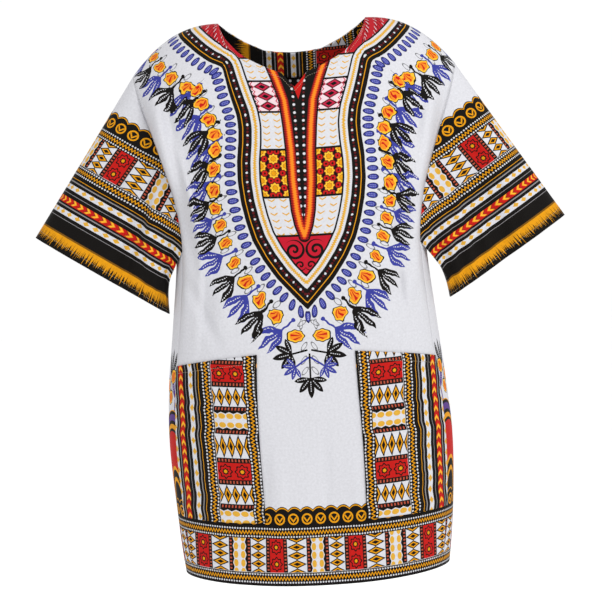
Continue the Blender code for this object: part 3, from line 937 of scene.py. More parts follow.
# A flower with eight petals in each square
sizes = ["along", "across", "width", "height", "eye"]
t, at = motif("flowers", ["cloth", "line", "petal", "heart"], sizes)
x = folded(t, at.along, at.width)
y = folded(t, at.across, at.height)
angle = node(t, "Math", y, x, operation="ARCTAN2")
lobes = node(t, "Math", angle, 8.0, operation="MULTIPLY")
lobes = node(t, "Math", lobes, operation="COSINE")
lobes = node(t, "Math", lobes, 0.1, 0.8, operation="MULTIPLY_ADD")
reach = node(t, "Math", away_from(t, x, y), lobes, operation="DIVIDE")
petals = inlaid(t, at.cloth, reach, (1.0, at.line), (0.8, at.petal), (0.46, at.line))
flowers = printed(t, inlaid(t, petals, reach, (at.eye, at.heart)))

# The wide border of sleeves, hem, pockets and facing: down starts at its scalloped edge
t, at = motif("border", ["cloth"], ["along", "down", "hem"])
BORDER_DEPTH = 216.0
BLOCKS_TOP, BLOCKS_FOOT = 44.5, 91.5
bands = [
    (0, BLACK), (28, BLACK), (BLOCKS_TOP, COTTON), (BLOCKS_FOOT, BLACK), (111.4, GOLD),
    (112.6, BLACK), (116.3, GREY), (117.7, BLACK), (122, COTTON), (129.5, BLACK), (134.3, GREY),
    (135.7, BLACK), (140.5, RED), (149.5, BLACK), (152.3, GREY), (153.7, BLACK), (158, COTTON),
    (166, BLACK), (170.6, GREY), (172, BLACK), (190.6, BROWN), (192.4, GOLD),
]  # fmt: skip
level = node(t, "Math", at.down, BORDER_DEPTH, operation="DIVIDE")
ground = node(t, "ValToRGB", level, stops=[(start / BORDER_DEPTH, ink) for start, ink in bands])

# Its blocks: waves, diamonds and squares with a flower, between rows of dots
PERIOD = 116.0
BLOCK_STARTS = (27.0, 56.0, 82.0)
SQUARE = (BLOCKS_FOOT - BLOCKS_TOP) / 2
run = node(t, "Math", at.along, PERIOD, 0.0, operation="WRAP")
block = node(t, "Math", at.down, -BLOCKS_TOP, operation="ADD")
x = node(t, "Math", run, -8.25, operation="ADD")
x = node(t, "Math", x, 5.25, operation="PINGPONG")
x = node(t, "Math", x, 1 / 3.3, operation="MULTIPLY")
rows = node(t, "Math", block, 5.9, operation="PINGPONG")
y = node(t, "Math", rows, 1 / 5.2, operation="MULTIPLY")
waves = inlaid(t, COTTON, away_from(t, x, y), (1.0, PALE_GOLD))
side = node(t, "Math", run, -BLOCK_STARTS[0] / 2, operation="ADD")
side = node(t, "Math", side, operation="ABSOLUTE")
side = node(t, "Math", rows, 0.36, side, operation="MULTIPLY_ADD")
scallop = node(t, "Math", side, 10.1, operation="GREATER_THAN")
chosen = node(t, "MixRGB", scallop, waves, BLACK)
block_ends = (*BLOCK_STARTS[1:], PERIOD)
for start, end, height in zip(BLOCK_STARTS, block_ends, (23.0, None, 28.0)):
    here = node(t, "Math", run, -(start + end) / 2, operation="ADD")
    if height:
        inks = (COTTON, BLACK, GOLD, BLACK)
        blocks = node(t, "Group", *inks, block, here, 11.8, height, node_tree=diamonds)
    else:
        rows = node(t, "Math", block, -SQUARE / 2, operation="ADD")
        inks = (RED, BLACK, RED, GOLD)
        blocks = node(t, "Group", *inks, rows, here, SQUARE, 20.0, 0.26, node_tree=flowers)
    after = node(t, "Math", run, start, operation="GREATER_THAN")
    chosen = node(t, "MixRGB", after, chosen, blocks)
share = node(t, "Math", run, PERIOD, operation="DIVIDE")
beads = node(t, "Math", block, 2.4, operation="PINGPONG")
for half, ink in ((3.0, BLACK), (1.6, "#B5523A")):
    parting = []
    for middle in (0.0, *BLOCK_STARTS, PERIOD):
        parting += [(middle - half, BLACK), (middle + half, COTTON)]
    parting = [(max(start, 0) / PERIOD, paint) for start, paint in parting if start < PERIOD]
    lit = node(t, "RGBToBW", node(t, "ValToRGB", share, stops=parting))
    apart = node(t, "Math", lit, 0.4, operation="LESS_THAN")
    if ink != BLACK:
        bead = node(t, "Math", beads, 1.1, operation="LESS_THAN")
        apart = node(t, "Math", apart, bead, operation="MULTIPLY")
    chosen = node(t, "MixRGB", apart, chosen, ink)
ground = node(t, "Group", ground, chosen, at.down, BLOCKS_TOP, BLOCKS_FOOT, node_tree=stripe)

# Its rows of dots and zigzags
for level in (31.0, 42.0, 94.5, 105.5):
    ground = node(t, "Group", ground, COTTON, at.along, at.down, 4.0, level, 1.25, node_tree=dots)
for level in (36.5, 100.0):
    sizes = (4.6, level, 4.4, 1.35)
    ground = node(t, "Group", ground, GOLD, at.along, at.down, *sizes, node_tree=zigzag)

# Its white bands with gold lozenges, and its red band with feathers
for level in (125.7, 162.0):
    x = node(t, "Math", at.along, 6.5, operation="PINGPONG")
    y = node(t, "Math", at.down, -level, operation="ADD")
    y = node(t, "Math", y, operation="ABSOLUTE")
    away = node(t, "Math", y, 1.25, x, operation="MULTIPLY_ADD")
    ground = inlaid(t, ground, away, (4.4, PALE_GOLD))
y = node(t, "Math", at.down, -145.0, operation="ADD")
y = node(t, "Math", y, operation="ABSOLUTE")
slant = node(t, "Math", y, 1.1, at.along, operation="MULTIPLY_ADD")
slant = node(t, "Math", slant, 11.0, operation="DIVIDE")
slant = node(t, "Math", slant, operation="FRACT")
feathers = [(0, RED), (0.3, MAROON), (0.4, ORANGE), (0.52, YELLOW), (0.72, ORANGE), (0.84, RED)]
ground = inlaid(t, ground, y, (3.9, node(t, "ValToRGB", slant, stops=feathers)))

# Its rings, and its scalloped edge in gold
x = node(t, "Math", at.along, 10.0, operation="PINGPONG")
y = node(t, "Math", at.down, -17.5, operation="ADD")
away = away_from(t, x, y)
inked = node(t, "Math", away, 6.7, 1.15, operation="COMPARE")
ground = node(t, "MixRGB", inked, ground, GOLD)
tongue = node(t, "Math", y, 0.8, x, operation="MULTIPLY_ADD")
inked = node(t, "Math", tongue, 2.6, 1.3, operation="COMPARE")
near = node(t, "Math", away, 5.2, operation="LESS_THAN")
inked = node(t, "Math", inked, near, operation="MULTIPLY")
ground = node(t, "MixRGB", inked, ground, GOLD)
x = folded(t, at.along, 18.0)
x = node(t, "Math", x, x, operation="MULTIPLY")
edge = node(t, "Math", x, -4.6, at.down, operation="MULTIPLY_ADD")
ground = node(t, "Group", ground, GOLD, edge, 1.3, 2.9, node_tree=stripe)
ground = inlaid(t, ground, edge, (0.0, at.cloth))

# Its printed fringe at a sleeve's edge, and the plain dark edge of the hem
threads = node(t, "CombineXYZ", at.along, 0.0, 0.0)
ragged = node(t, "TexNoise", threads, None, FRINGE_THREADS, 3.0, 0.75)
edge = node(t, "Math", ragged.outputs[0], 80.0, at.down, operation="MULTIPLY_ADD")
inked = node(t, "Math", edge, 244.5, operation="GREATER_THAN")
fringed = node(t, "MixRGB", inked, ground, BLACK)
inked = node(t, "Math", at.down, 108.3, operation="GREATER_THAN")
inked = node(t, "Math", inked, at.hem, operation="MULTIPLY")
border = printed(t, node(t, "MixRGB", inked, fringed, BLACK))

# An egg-shaped drop with a dotted middle. It starts at across 0
t, at = motif("drop", ["cloth"], ["along", "across"])
DROP_LONG, DROP_HALF = 17.0, 4.7
share = node(t, "Math", at.across, 2 / DROP_LONG, -1.0, operation="MULTIPLY_ADD")
fuller = node(t, "Math", share, 0.12, 0.95, operation="MULTIPLY_ADD")
fuller = node(t, "Math", fuller, DROP_HALF, operation="MULTIPLY")
x = node(t, "Math", at.along, fuller, operation="DIVIDE")
away = away_from(t, x, share)
filled = inlaid(t, at.cloth, away, (1.0, INDIGO), (0.74, BLUE))
side = node(t, "Math", at.along, operation="ABSOLUTE")
side = node(t, "Math", side, 1.2, 0.42, operation="COMPARE")
beads = node(t, "Math", at.across, 1.2, operation="PINGPONG")
beads = node(t, "Math", beads, 0.75, operation="LESS_THAN")
side = node(t, "Math", side, beads, operation="MULTIPLY")
middle = node(t, "Math", away, 0.66, operation="LESS_THAN")
side = node(t, "Math", side, middle, operation="MULTIPLY")
drop = printed(t, node(t, "MixRGB", side, filled, PALE_BLUE))

# A blossom with a lobed edge and red strokes, about its own middle
t, at = motif("blossom", ["cloth"], ["along", "across"])
low = node(t, "Math", at.across, 0.82, operation="MULTIPLY")
away = away_from(t, at.along, low)
angle = node(t, "Math", at.across, at.along, operation="ARCTAN2")
lobes = node(t, "Math", angle, 7.0, operation="MULTIPLY")
lobes = node(t, "Math", lobes, operation="SINE")
edge = node(t, "Math", lobes, 0.5, 9.0, operation="MULTIPLY_ADD")
fuller = node(t, "Math", angle, operation="SINE")
edge = node(t, "Math", fuller, 1.3, edge, operation="MULTIPLY_ADD")
reach = node(t, "Math", away, edge, operation="DIVIDE")
warm = inlaid(t, at.cloth, reach, (1.0, BLACK), (0.87, YELLOW), (0.68, ORANGE))
inner = node(t, "Math", at.across, 7.0, operation="ADD")
strokes = node(t, "Math", inner, at.along, operation="ARCTAN2")
strokes = node(t, "Math", strokes, 5.6 / math.pi, operation="MULTIPLY")
strokes = node(t, "Math", strokes, 0.5, operation="PINGPONG")
stroke = node(t, "Math", strokes, 0.19, operation="LESS_THAN")
within = node(t, "Math", reach, 0.62, operation="LESS_THAN")
stroke = node(t, "Math", stroke, within, operation="MULTIPLY")
blossom = printed(t, node(t, "MixRGB", stroke, warm, RED))

# A sprig: a stem, then a fat middle finger between two that curve. It starts at across 0
t, at = motif("sprig", ["cloth", "ink", "dot"], ["along", "across"])
FINGER_LONG, OUTER_START, INNER_START = 36.0, 20.0, 24.0
x = node(t, "Math", at.along, operation="ABSOLUTE")
stem = node(t, "Math", x, 1.2, operation="LESS_THAN")
stem_run = node(t, "Math", at.across, 14.0, 14.0, operation="COMPARE")
whole = node(t, "Math", stem, stem_run, operation="MULTIPLY")
place = node(t, "CombineXYZ", x, at.across)
for middle, radius in ((2.4, 2.6), (28.5, 4.6)):
    away = node(t, "VectorMath", place, (0, middle, 0), operation="DISTANCE").outputs["Value"]
    inked = node(t, "Math", away, radius, operation="LESS_THAN")
    whole = node(t, "Math", whole, inked, operation="MAXIMUM")
fingers = []
for start in (OUTER_START, INNER_START):
    y = node(t, "Math", at.across, -start, operation="ADD")
    share = node(t, "Math", y, FINGER_LONG, operation="DIVIDE", use_clamp=True)
    rest = node(t, "Math", 1.0, share, operation="SUBTRACT")
    fingers.append((rest, node(t, "Math", share, rest, operation="MULTIPLY")))
(rest, outer), (_, inner) = fingers
bend = node(t, "Math", rest, 2.4, operation="POWER")
bend = node(t, "Math", bend, -11.4, 11.4, operation="MULTIPLY_ADD")
half = node(t, "Math", outer, 16.6, operation="MULTIPLY")
outer = node(t, "Math", x, bend, half, operation="COMPARE")
half = node(t, "Math", inner, 13.8, operation="MULTIPLY")
inner = node(t, "Math", x, half, operation="LESS_THAN")
for finger in (outer, inner):
    whole = node(t, "Math", whole, finger, operation="MAXIMUM")
inked = node(t, "MixRGB", whole, at.cloth, at.ink)
bead = node(t, "Math", at.across, 1.6, operation="PINGPONG")
bead = node(t, "Math", bead, 0.9, operation="LESS_THAN")
line = node(t, "Math", x, bend, 0.55, operation="COMPARE")
straight = node(t, "Math", x, 0.55, operation="LESS_THAN")
line = node(t, "Math", line, straight, operation="MAXIMUM")
finger = node(t, "Math", at.across, 41.0, 12.0, operation="COMPARE")
for part in (line, finger, whole):
    bead = node(t, "Math", bead, part, operation="MULTIPLY")
sprig = printed(t, node(t, "MixRGB", bead, inked, at.dot))

# A spread leaf of five pointed lobes on a stalk. Its lobes point down across
t, at = motif("spread_leaf", ["cloth", "ink", "dot"], ["along", "across", "size", "stalk"])
LOBE_HALF = math.radians(20)
away = away_from(t, at.along, at.across)
angle = node(t, "Math", at.along, at.across, operation="ARCTAN2")
turn = node(t, "Math", angle, operation="ABSOLUTE")
aside = node(t, "Math", angle, LOBE_HALF, operation="PINGPONG")
lobes = node(t, "Math", aside, 1 / LOBE_HALF, operation="MULTIPLY")
lobes = node(t, "Math", lobes, 1.2, operation="POWER")
lobes = node(t, "Math", lobes, -0.5, 1.0, operation="MULTIPLY_ADD")
shorter = node(t, "Math", turn, -0.13, 1.0, operation="MULTIPLY_ADD")
edge = node(t, "Math", lobes, shorter, operation="MULTIPLY")
edge = node(t, "Math", edge, at.size, operation="MULTIPLY")
inked = node(t, "Math", away, edge, operation="LESS_THAN")
front = node(t, "Math", turn, 5 * LOBE_HALF, operation="LESS_THAN")
inked = node(t, "Math", inked, front, operation="MULTIPLY")
stalk = node(t, "Math", at.along, 0.0, 1.3, operation="COMPARE")
half = node(t, "Math", at.stalk, 0.5, operation="MULTIPLY")
stalk_run = node(t, "Math", at.across, half, operation="ADD")
stalk_run = node(t, "Math", stalk_run, 0.0, half, operation="COMPARE")
stalk = node(t, "Math", stalk, stalk_run, operation="MULTIPLY")
inked = node(t, "Math", inked, stalk, operation="MAXIMUM")
leafy = node(t, "MixRGB", inked, at.cloth, at.ink)
vein = node(t, "Math", away, aside, operation="MULTIPLY")
vein = node(t, "Math", vein, 0.55, operation="LESS_THAN")
beads = node(t, "Math", away, 1.5, operation="PINGPONG")
beads = node(t, "Math", beads, 0.85, operation="LESS_THAN")
middle = node(t, "Math", away, at.size, operation="DIVIDE")
middle = node(t, "Math", middle, 0.45, 0.27, operation="COMPARE")
for part in (beads, middle, front):
    vein = node(t, "Math", vein, part, operation="MULTIPLY")
spread_leaf = printed(t, node(t, "MixRGB", vein, leafy, at.dot))

# A leaf drawn in outline, about its own middle
t, at = motif("leaf", ["cloth"], ["along", "across"])
place = node(t, "CombineXYZ", at.along, at.across)
place = node(t, "VectorMath", place, (0.36, 0.14, 1.0), operation="MULTIPLY")
away = node(t, "VectorMath", place, operation="LENGTH")
inked = node(t, "Math", away.outputs["Value"], 0.9, 0.14, operation="COMPARE")
inked = node(t, "Math", inked, 0.75, operation="MULTIPLY")
leaf = printed(t, node(t, "MixRGB", inked, at.cloth, BLACK))

# The yoke and the ring of motifs round it
t, at = motif("yoke", ["cloth"], ["along", "out", "wide", "lean", "beyond", "between", "axis", "up"])
SPRIG_PITCH, SPRIG_START, SPRIG_SIZE = 24.0, 25.0, 1.12
BLOSSOM_START = 37.0
DROP_PITCH, DROP_START = 12.0, 2.4
# Below the tip the sprigs stand nearer to the middle
NEAR_TIP, TIP_SHIFT = 90.0, 10.0
crowded = node(t, "Math", at.along, -1 / NEAR_TIP, 1.0, operation="MULTIPLY_ADD", use_clamp=True)
crowded = node(t, "Math", crowded, TIP_SHIFT, at.along, operation="MULTIPLY_ADD")
# From the armpits up they stand further apart, and past the yoke's corner further out
ARMPIT_PLACE, SPARSER = 200.0, 0.15
CORNER_RUN, FURTHER_OUT = 120.0, 12.0
past = node(t, "Math", at.along, -ARMPIT_PLACE, operation="ADD")
past = node(t, "Math", past, 0.0, operation="MAXIMUM")
crowded = node(t, "Math", past, -SPARSER, crowded, operation="MULTIPLY_ADD")
further = node(t, "Math", past, 1 / CORNER_RUN, -0.667, operation="MULTIPLY_ADD", use_clamp=True)
far_out = node(t, "Math", further, -FURTHER_OUT, at.out, operation="MULTIPLY_ADD")
shifted = node(t, "Math", crowded, SPRIG_PITCH / 2, operation="ADD")
x, y = by_the_nearest(t, at, shifted, far_out, SPRIG_PITCH)
ring = at.cloth
for aside, high in ((-8.5, 25.0), (9.0, 44.0)):
    left = node(t, "Math", x, aside, operation="ADD")
    low = node(t, "Math", y, -high, operation="ADD")
    ring = node(t, "Group", ring, left, low, node_tree=leaf)
freehand = node(t, "CombineXYZ", at.along, at.out)
freehand = node(t, "TexNoise", freehand, None, WANDERS, 1.0, 0.5)
freehand = node(t, "VectorMath", freehand.outputs["Color"], (0.5, 0.5, 0.5), operation="SUBTRACT")
freehand = node(t, "SeparateXYZ", freehand)
stray_x, stray_y = freehand.outputs["X"], freehand.outputs["Y"]
blossom_x = node(t, "Math", stray_x, 10.0, x, operation="MULTIPLY_ADD")
blossom_y = node(t, "Math", y, -BLOSSOM_START, operation="ADD")
blossom_y = node(t, "Math", stray_y, 10.0, blossom_y, operation="MULTIPLY_ADD")
for ink, start in ((BLUE, SPRIG_PITCH), (BLACK, 0.0)):
    shifted = node(t, "Math", crowded, start, operation="ADD")
    x, y = by_the_nearest(t, at, shifted, far_out, 2 * SPRIG_PITCH)
    x = node(t, "Math", stray_y, 7.0, x, operation="MULTIPLY_ADD")
    x = node(t, "Math", x, SPRIG_SIZE, operation="DIVIDE")
    y = node(t, "Math", y, -SPRIG_START, operation="ADD")
    y = node(t, "Math", y, SPRIG_SIZE, operation="DIVIDE")
    ring = node(t, "Group", ring, ink, COTTON, x, y, node_tree=sprig)
blooming = node(t, "Group", ring, blossom_x, blossom_y, node_tree=blossom)
beside = node(t, "Math", crowded, SPRIG_PITCH, operation="GREATER_THAN")
ring = node(t, "MixRGB", beside, ring, blooming)
step = node(t, "Math", at.along, DROP_PITCH / 2, -DROP_PITCH / 2, operation="WRAP")
x = node(t, "Math", step, at.wide, operation="MULTIPLY")
y = node(t, "Math", at.out, -DROP_START, operation="ADD")
ring = node(t, "Group", ring, x, y, node_tree=drop)

# The cluster below the yoke's tip: two blossoms, outlined leaves, then spread leaves
x = node(t, "Math", at.axis, -16.6, operation="ADD")
x = node(t, "Math", x, 0.86, operation="MULTIPLY")
y = node(t, "Math", 345.5, at.up, operation="SUBTRACT")
ring = node(t, "Group", ring, y, x, node_tree=blossom)
for aside, up, turn, size, stalk, ink in (
    (9.0, 363.0, 1.0, 0.0, 0.0, None), (7.0, 331.0, 0.6, 0.0, 0.0, None),
    (8.0, 312.0, 0.6, 0.0, 0.0, None), (7.0, 297.0, 0.7, 0.0, 0.0, None),
    (24.0, 321.0, 1.35, 28.0, 22.0, BLACK), (20.0, 303.0, 0.98, 20.0, 23.0, BLUE),
    (0.0, 287.0, 0.0, 28.0, 34.0, BLACK),
):  # fmt: skip
    x = node(t, "Math", at.axis, -aside, operation="ADD")
    y = node(t, "Math", up, at.up, operation="SUBTRACT")
    place = node(t, "CombineXYZ", x, y)
    place = node(t, "VectorRotate", place, None, None, turn, rotation_type="Z_AXIS")
    parts = node(t, "SeparateXYZ", place)
    x, y = parts.outputs["X"], parts.outputs["Y"]
    if ink:
        ring = node(t, "Group", ring, ink, COTTON, x, y, size, stalk, node_tree=spread_leaf)
    else:
        ring = node(t, "Group", ring, x, y, node_tree=leaf)

# Blocks between the yoke's bands and its middle, each row with a pattern of its own
VINE_ROW, ROSY_ROW, TOOTHED_ROW, HEART_TOP = 571.0, 684.5, 747.0, 484.0
across = node(t, "Math", at.beyond, at.out, operation="ADD")
across = node(t, "Math", across, 0.5, 12.5, operation="MULTIPLY_ADD")
side = node(t, "Math", across, operation="ABSOLUTE")
shifted = node(t, "Math", across, 8.0, operation="ADD")
small = node(t, "Group", COTTON, PALE_GOLD, at.up, shifted, 16.0, 9.5, node_tree=chevrons)
BUSH = 20.4
rows = node(t, "Math", at.up, -VINE_ROW, operation="ADD")
between = node(t, "Math", rows, BUSH / 2, operation="ADD")
vine = BLACK
for along, level in ((between, 4.5), (rows, 12.5), (rows, 17.5)):
    for ink, radius in ((RED, 4.2), (BLACK, 1.5)):
        vine = node(t, "Group", vine, ink, along, side, BUSH, level, radius, node_tree=dots)
for along, middle in ((rows, 0.0), (between, 17.0)):
    aside = node(t, "Math", side, -middle, operation="ADD")
    aside = node(t, "Math", aside, operation="ABSOLUTE")
    aside = node(t, "Math", aside, BUSH / 2, operation="MINIMUM")
    sizes = (along, aside, BUSH, BUSH, 0.4)
    vine = node(t, "Group", vine, MAROON, YELLOW, GOLD, *sizes, node_tree=flowers)
rows = node(t, "Math", at.up, -ROSY_ROW, operation="ADD")
sizes = (rows, across, 15.0, 24.0)
rosy = node(t, "Group", "#EBD2D8", MAROON, CRIMSON, BLACK, *sizes, node_tree=diamonds)
for ink, level, high, line in ((CRIMSON, 13.6, 3.4, 0.8), (BLACK, 19.0, 5.0, 2.3)):
    rosy = node(t, "Group", rosy, ink, rows, side, 7.5, level, high, line, node_tree=zigzag)
blocks = small
for level, half, pattern in ((VINE_ROW, 33.0, vine), (ROSY_ROW, 23.0, rosy)):
    here = node(t, "Math", at.up, level, half, operation="COMPARE")
    blocks = node(t, "MixRGB", here, blocks, pattern)
slant = node(t, "Math", at.out, 0.9, at.along, operation="MULTIPLY_ADD")
toothed = "#B81F2A"
for ink, start in ((BLACK, 2.6), (COTTON, 0.0)):
    teeth = node(t, "Math", slant, start, operation="ADD")
    teeth = node(t, "Math", teeth, 3.6, operation="PINGPONG")
    teeth = node(t, "Math", teeth, 0.62, operation="LESS_THAN")
    sides = node(t, "Math", across, 5.0 + start, operation="PINGPONG")
    sides = node(t, "Math", sides, 3.2, operation="GREATER_THAN")
    teeth = node(t, "Math", teeth, sides, operation="MULTIPLY")
    toothed = node(t, "MixRGB", teeth, toothed, ink)
after = node(t, "Math", at.up, TOOTHED_ROW, operation="GREATER_THAN")
blocks = node(t, "MixRGB", after, blocks, toothed)

# Scrolls in the heart at the yoke's foot
scrolled = "#C01A2E"
for out, up, reach, pitch in ((15.0, 464.0, 14.5, 8.6), (7.0, 443.0, 8.0, 6.0)):
    x = node(t, "Math", at.axis, -out, operation="ADD")
    y = node(t, "Math", at.up, -up, operation="ADD")
    away = away_from(t, x, y)
    angle = node(t, "Math", y, x, operation="ARCTAN2")
    angle = node(t, "Math", angle, 0.5 / math.pi, 0.5, operation="MULTIPLY_ADD")
    coil = node(t, "Math", away, 1 / pitch, angle, operation="MULTIPLY_ADD")
    coil = node(t, "Math", coil, operation="FRACT")
    inked = node(t, "Math", coil, 0.5, 0.21, operation="COMPARE")
    near = node(t, "Math", away, reach, operation="LESS_THAN")
    inked = node(t, "Math", inked, near, operation="MULTIPLY")
    scrolled = node(t, "MixRGB", inked, scrolled, BLACK)
scrolled = inlaid(t, scrolled, at.up, (431.0, BLACK))
blocks = inlaid(t, blocks, at.up, (HEART_TOP, scrolled))
for level in (HEART_TOP, 537.5, 604.5, 660.5, 708.5, TOOTHED_ROW):
    line = node(t, "Math", at.up, level, 1.5, operation="COMPARE")
    blocks = node(t, "MixRGB", line, blocks, BLACK)

# The middle: two glowing stripes that meet at a point, with dots between them
GLOW = 17.0
tooth = node(t, "Math", at.up, 1.7, operation="PINGPONG")
glow = node(t, "Math", tooth, 0.85, at.beyond, operation="MULTIPLY_ADD")
glow = node(t, "Math", glow, 8.1, operation="ADD")
glow = node(t, "Math", glow, GLOW, operation="DIVIDE")
glows = [
    (0, BLACK), (2.0, "#8C1418"), (4.7, "#D8421B"), (6.4, ORANGE), (10.8, "#D8421B"),
    (12.4, "#8C1418"), (14.9, BLACK),
]  # fmt: skip
middle = node(t, "ValToRGB", glow, stops=[(start / GLOW, ink) for start, ink in glows])
core = node(t, "Group", BLACK, COTTON, at.up, at.between, 12.2, 0.0, 2.0, node_tree=dots)
half_way = node(t, "Math", at.up, 6.1, operation="ADD")
core = node(t, "Group", core, MAROON, half_way, at.between, 12.2, 0.0, 1.6, node_tree=dots)
wedge = node(t, "Math", at.up, -679.0, operation="ADD")
wedge = node(t, "Math", wedge, 0.33, operation="MULTIPLY")
wedge = node(t, "Math", at.axis, wedge, operation="LESS_THAN")
core = node(t, "MixRGB", wedge, core, RED)
middle = inlaid(t, middle, at.beyond, (-6.0, core))
inside = inlaid(t, blocks, at.beyond, (8.5, middle))

# The bands along the outline: a gold line, dots, and a gold chain on white
BANDS = 34.0
deep = node(t, "Math", at.out, -1.0, operation="MULTIPLY")
share = node(t, "Math", deep, BANDS, operation="DIVIDE")
edges = [(0, BLACK), (5.8, GOLD), (7.0, BLACK), (19, COTTON), (30.5, BLACK)]
bands = node(t, "ValToRGB", share, stops=[(start / BANDS, ink) for start, ink in edges])
for aside, ink in ((0.0, COTTON), (4.3, MAROON), (9.3, MAROON)):
    x = node(t, "Math", at.along, aside, operation="ADD")
    bands = node(t, "Group", bands, ink, x, deep, 13.6, 13.2, 1.7, node_tree=dots)
bands = node(t, "Group", bands, PALE_GOLD, at.along, deep, 3.2, 24.8, 2.2, 2.0, node_tree=zigzag)
inside = inlaid(t, inside, deep, (BANDS - 1, bands))
yoke = printed(t, inlaid(t, ring, at.out, (0.0, inside)))

# What stands on the hem at each side of the back: a red arch, blossoms and sprigs over it
t, at = motif("side_print", ["cloth"], ["aside", "up"])
result = at.cloth
for aside, up, ink in (
    (14.0, 262.0, BLACK), (38.0, 236.0, VIOLET), (-6.0, 232.0, VIOLET),
    (6.0, 282.0, None), (27.0, 268.0, None), (12.0, 252.0, None), (40.0, 240.0, None),
):  # fmt: skip
    x = node(t, "Math", at.aside, -aside, operation="ADD")
    y = node(t, "Math", at.up, -up, operation="ADD")
    if ink:
        result = node(t, "Group", result, ink, COTTON, x, y, node_tree=sprig)
    else:
        result = node(t, "Group", result, x, y, node_tree=blossom)
x = node(t, "Math", at.aside, 1 / 62.0, operation="MULTIPLY")
y = node(t, "Math", at.up, 1 / 128.0, -108.0 / 128.0, operation="MULTIPLY_ADD")
away = away_from(t, x, y)
arches = [
    (0, BLACK), (0.2, GOLD), (0.25, BLACK), (0.33, GOLD), (0.37, RED), (0.76, BLACK), (0.79, GOLD),
    (0.84, BLACK), (0.88, VIOLET), (0.95, BLACK), (0.985, GOLD),
]  # fmt: skip
arch = node(t, "ValToRGB", away, stops=arches)
side_print = printed(t, inlaid(t, result, away, (1.0, arch)))


def printed_cotton(name, piece):
    """A plain woven cotton: matt, with a faint sheen, threads and slubs. Gives its tree and shader."""
    material = bpy.data.materials.new(name)
    material.use_nodes = True
    tree = material.node_tree
    shader = tree.nodes["Principled BSDF"]
    shader.inputs["Roughness"].default_value = 0.82
    shader.inputs["IOR"].default_value = 1.5
    shader.inputs["Specular IOR Level"].default_value = 0.1
    shader.inputs["Sheen Weight"].default_value = 0.03
    shader.inputs["Sheen Roughness"].default_value = 0.5
    place = node(tree, "Attribute", attribute_name="cloth")
    parts = node(tree, "SeparateXYZ", place.outputs["Vector"])
    # Threads are 0.4 mm apart in the cloth, and are drawn 1.2 mm apart so that they show
    warp = node(tree, "Math", parts.outputs["X"], THREAD_PITCH / 2, operation="PINGPONG")
    weft = node(tree, "Math", parts.outputs["Y"], THREAD_PITCH / 2, operation="PINGPONG")
    weave = node(tree, "Math", warp, weft, operation="MAXIMUM")
    slubs = node(tree, "TexNoise", place.outputs["Vector"], None, SLUBS, 2.0, 0.5)
    height = node(tree, "Math", slubs.outputs[0], 1.2, weave, operation="MULTIPLY_ADD")
    bump = node(tree, "Bump", 0.18, WEAVE_RELIEF * MM, None, height)
    tree.links.new(bump.outputs[0], shader.inputs["Normal"])
    piece.data.materials.append(material)
    return tree, shader, parts


def dyed(tree, shader, parts, print_):
    """Let the ink lie a little unevenly on the cloth, and give the shader its colour."""
    place = node(tree, "CombineXYZ", parts.outputs["X"], parts.outputs["Y"])
    mottle = node(tree, "TexNoise", place, None, MOTTLES, 3.0, 0.6)
    shade = node(tree, "MixRGB", mottle.outputs[0], "#DCDCDC", "#FFFFFF")
    worn = node(tree, "MixRGB", 1.0, print_, shade, blend_type="MULTIPLY")
    tree.links.new(worn.outputs[0], shader.inputs["Base Color"])


# The front and the back: yoke, ring and hem border on white cotton
for piece, name, shift in (
    (front_piece, "wax_print_cotton_front", 0.0),
    (back_piece, "wax_print_cotton_back", BACK_SHIFT),
):
    tree, shader, parts = printed_cotton(name, piece)
    places = []
    for label in ("ring", "wide", "core"):
        place = node(tree, "Attribute", attribute_name=label).outputs["Vector"]
        places += node(tree, "SeparateXYZ", place).outputs
    *places, axis = places
    axis = node(tree, "Math", axis, operation="ABSOLUTE")
    up = node(tree, "Math", parts.outputs["Y"], shift, operation="ADD")
    ground = COTTON
    if piece is back_piece:
        seam = node(tree, "Math", parts.outputs["X"], operation="ABSOLUTE")
        seam = node(tree, "Math", back_edge, seam, operation="SUBTRACT")
        ground = node(tree, "Group", COTTON, seam, parts.outputs["Y"], node_tree=side_print)
    along, out, _, wide, lean, _, beyond, between = places
    sizes = (along, out, wide, lean, beyond, between, axis, up)
    print_ = node(tree, "Group", ground, *sizes, node_tree=yoke)
    down = node(tree, "Math", HEM_BORDER, parts.outputs["Y"], operation="SUBTRACT")
    along = node(tree, "Math", parts.outputs["X"], HEM_SHIFT, operation="ADD")
    along = node(tree, "Math", along, HEM_STRETCH, operation="DIVIDE")
    print_ = node(tree, "Group", print_, along, down, 1.0, node_tree=border)
    dyed(tree, shader, parts, print_)

# The sleeves: the wide border down to its fringe at the cuff
for name, piece in sleeve_pieces.items():
    tree, shader, parts = printed_cotton("wax_print_cotton_" + name, piece)
    down = node(tree, "Math", BORDER_DEPTH, parts.outputs["Y"], operation="SUBTRACT")
    print_ = node(tree, "Group", COTTON, parts.outputs["X"], down, 0.0, node_tree=border)
    dyed(tree, shader, parts, print_)

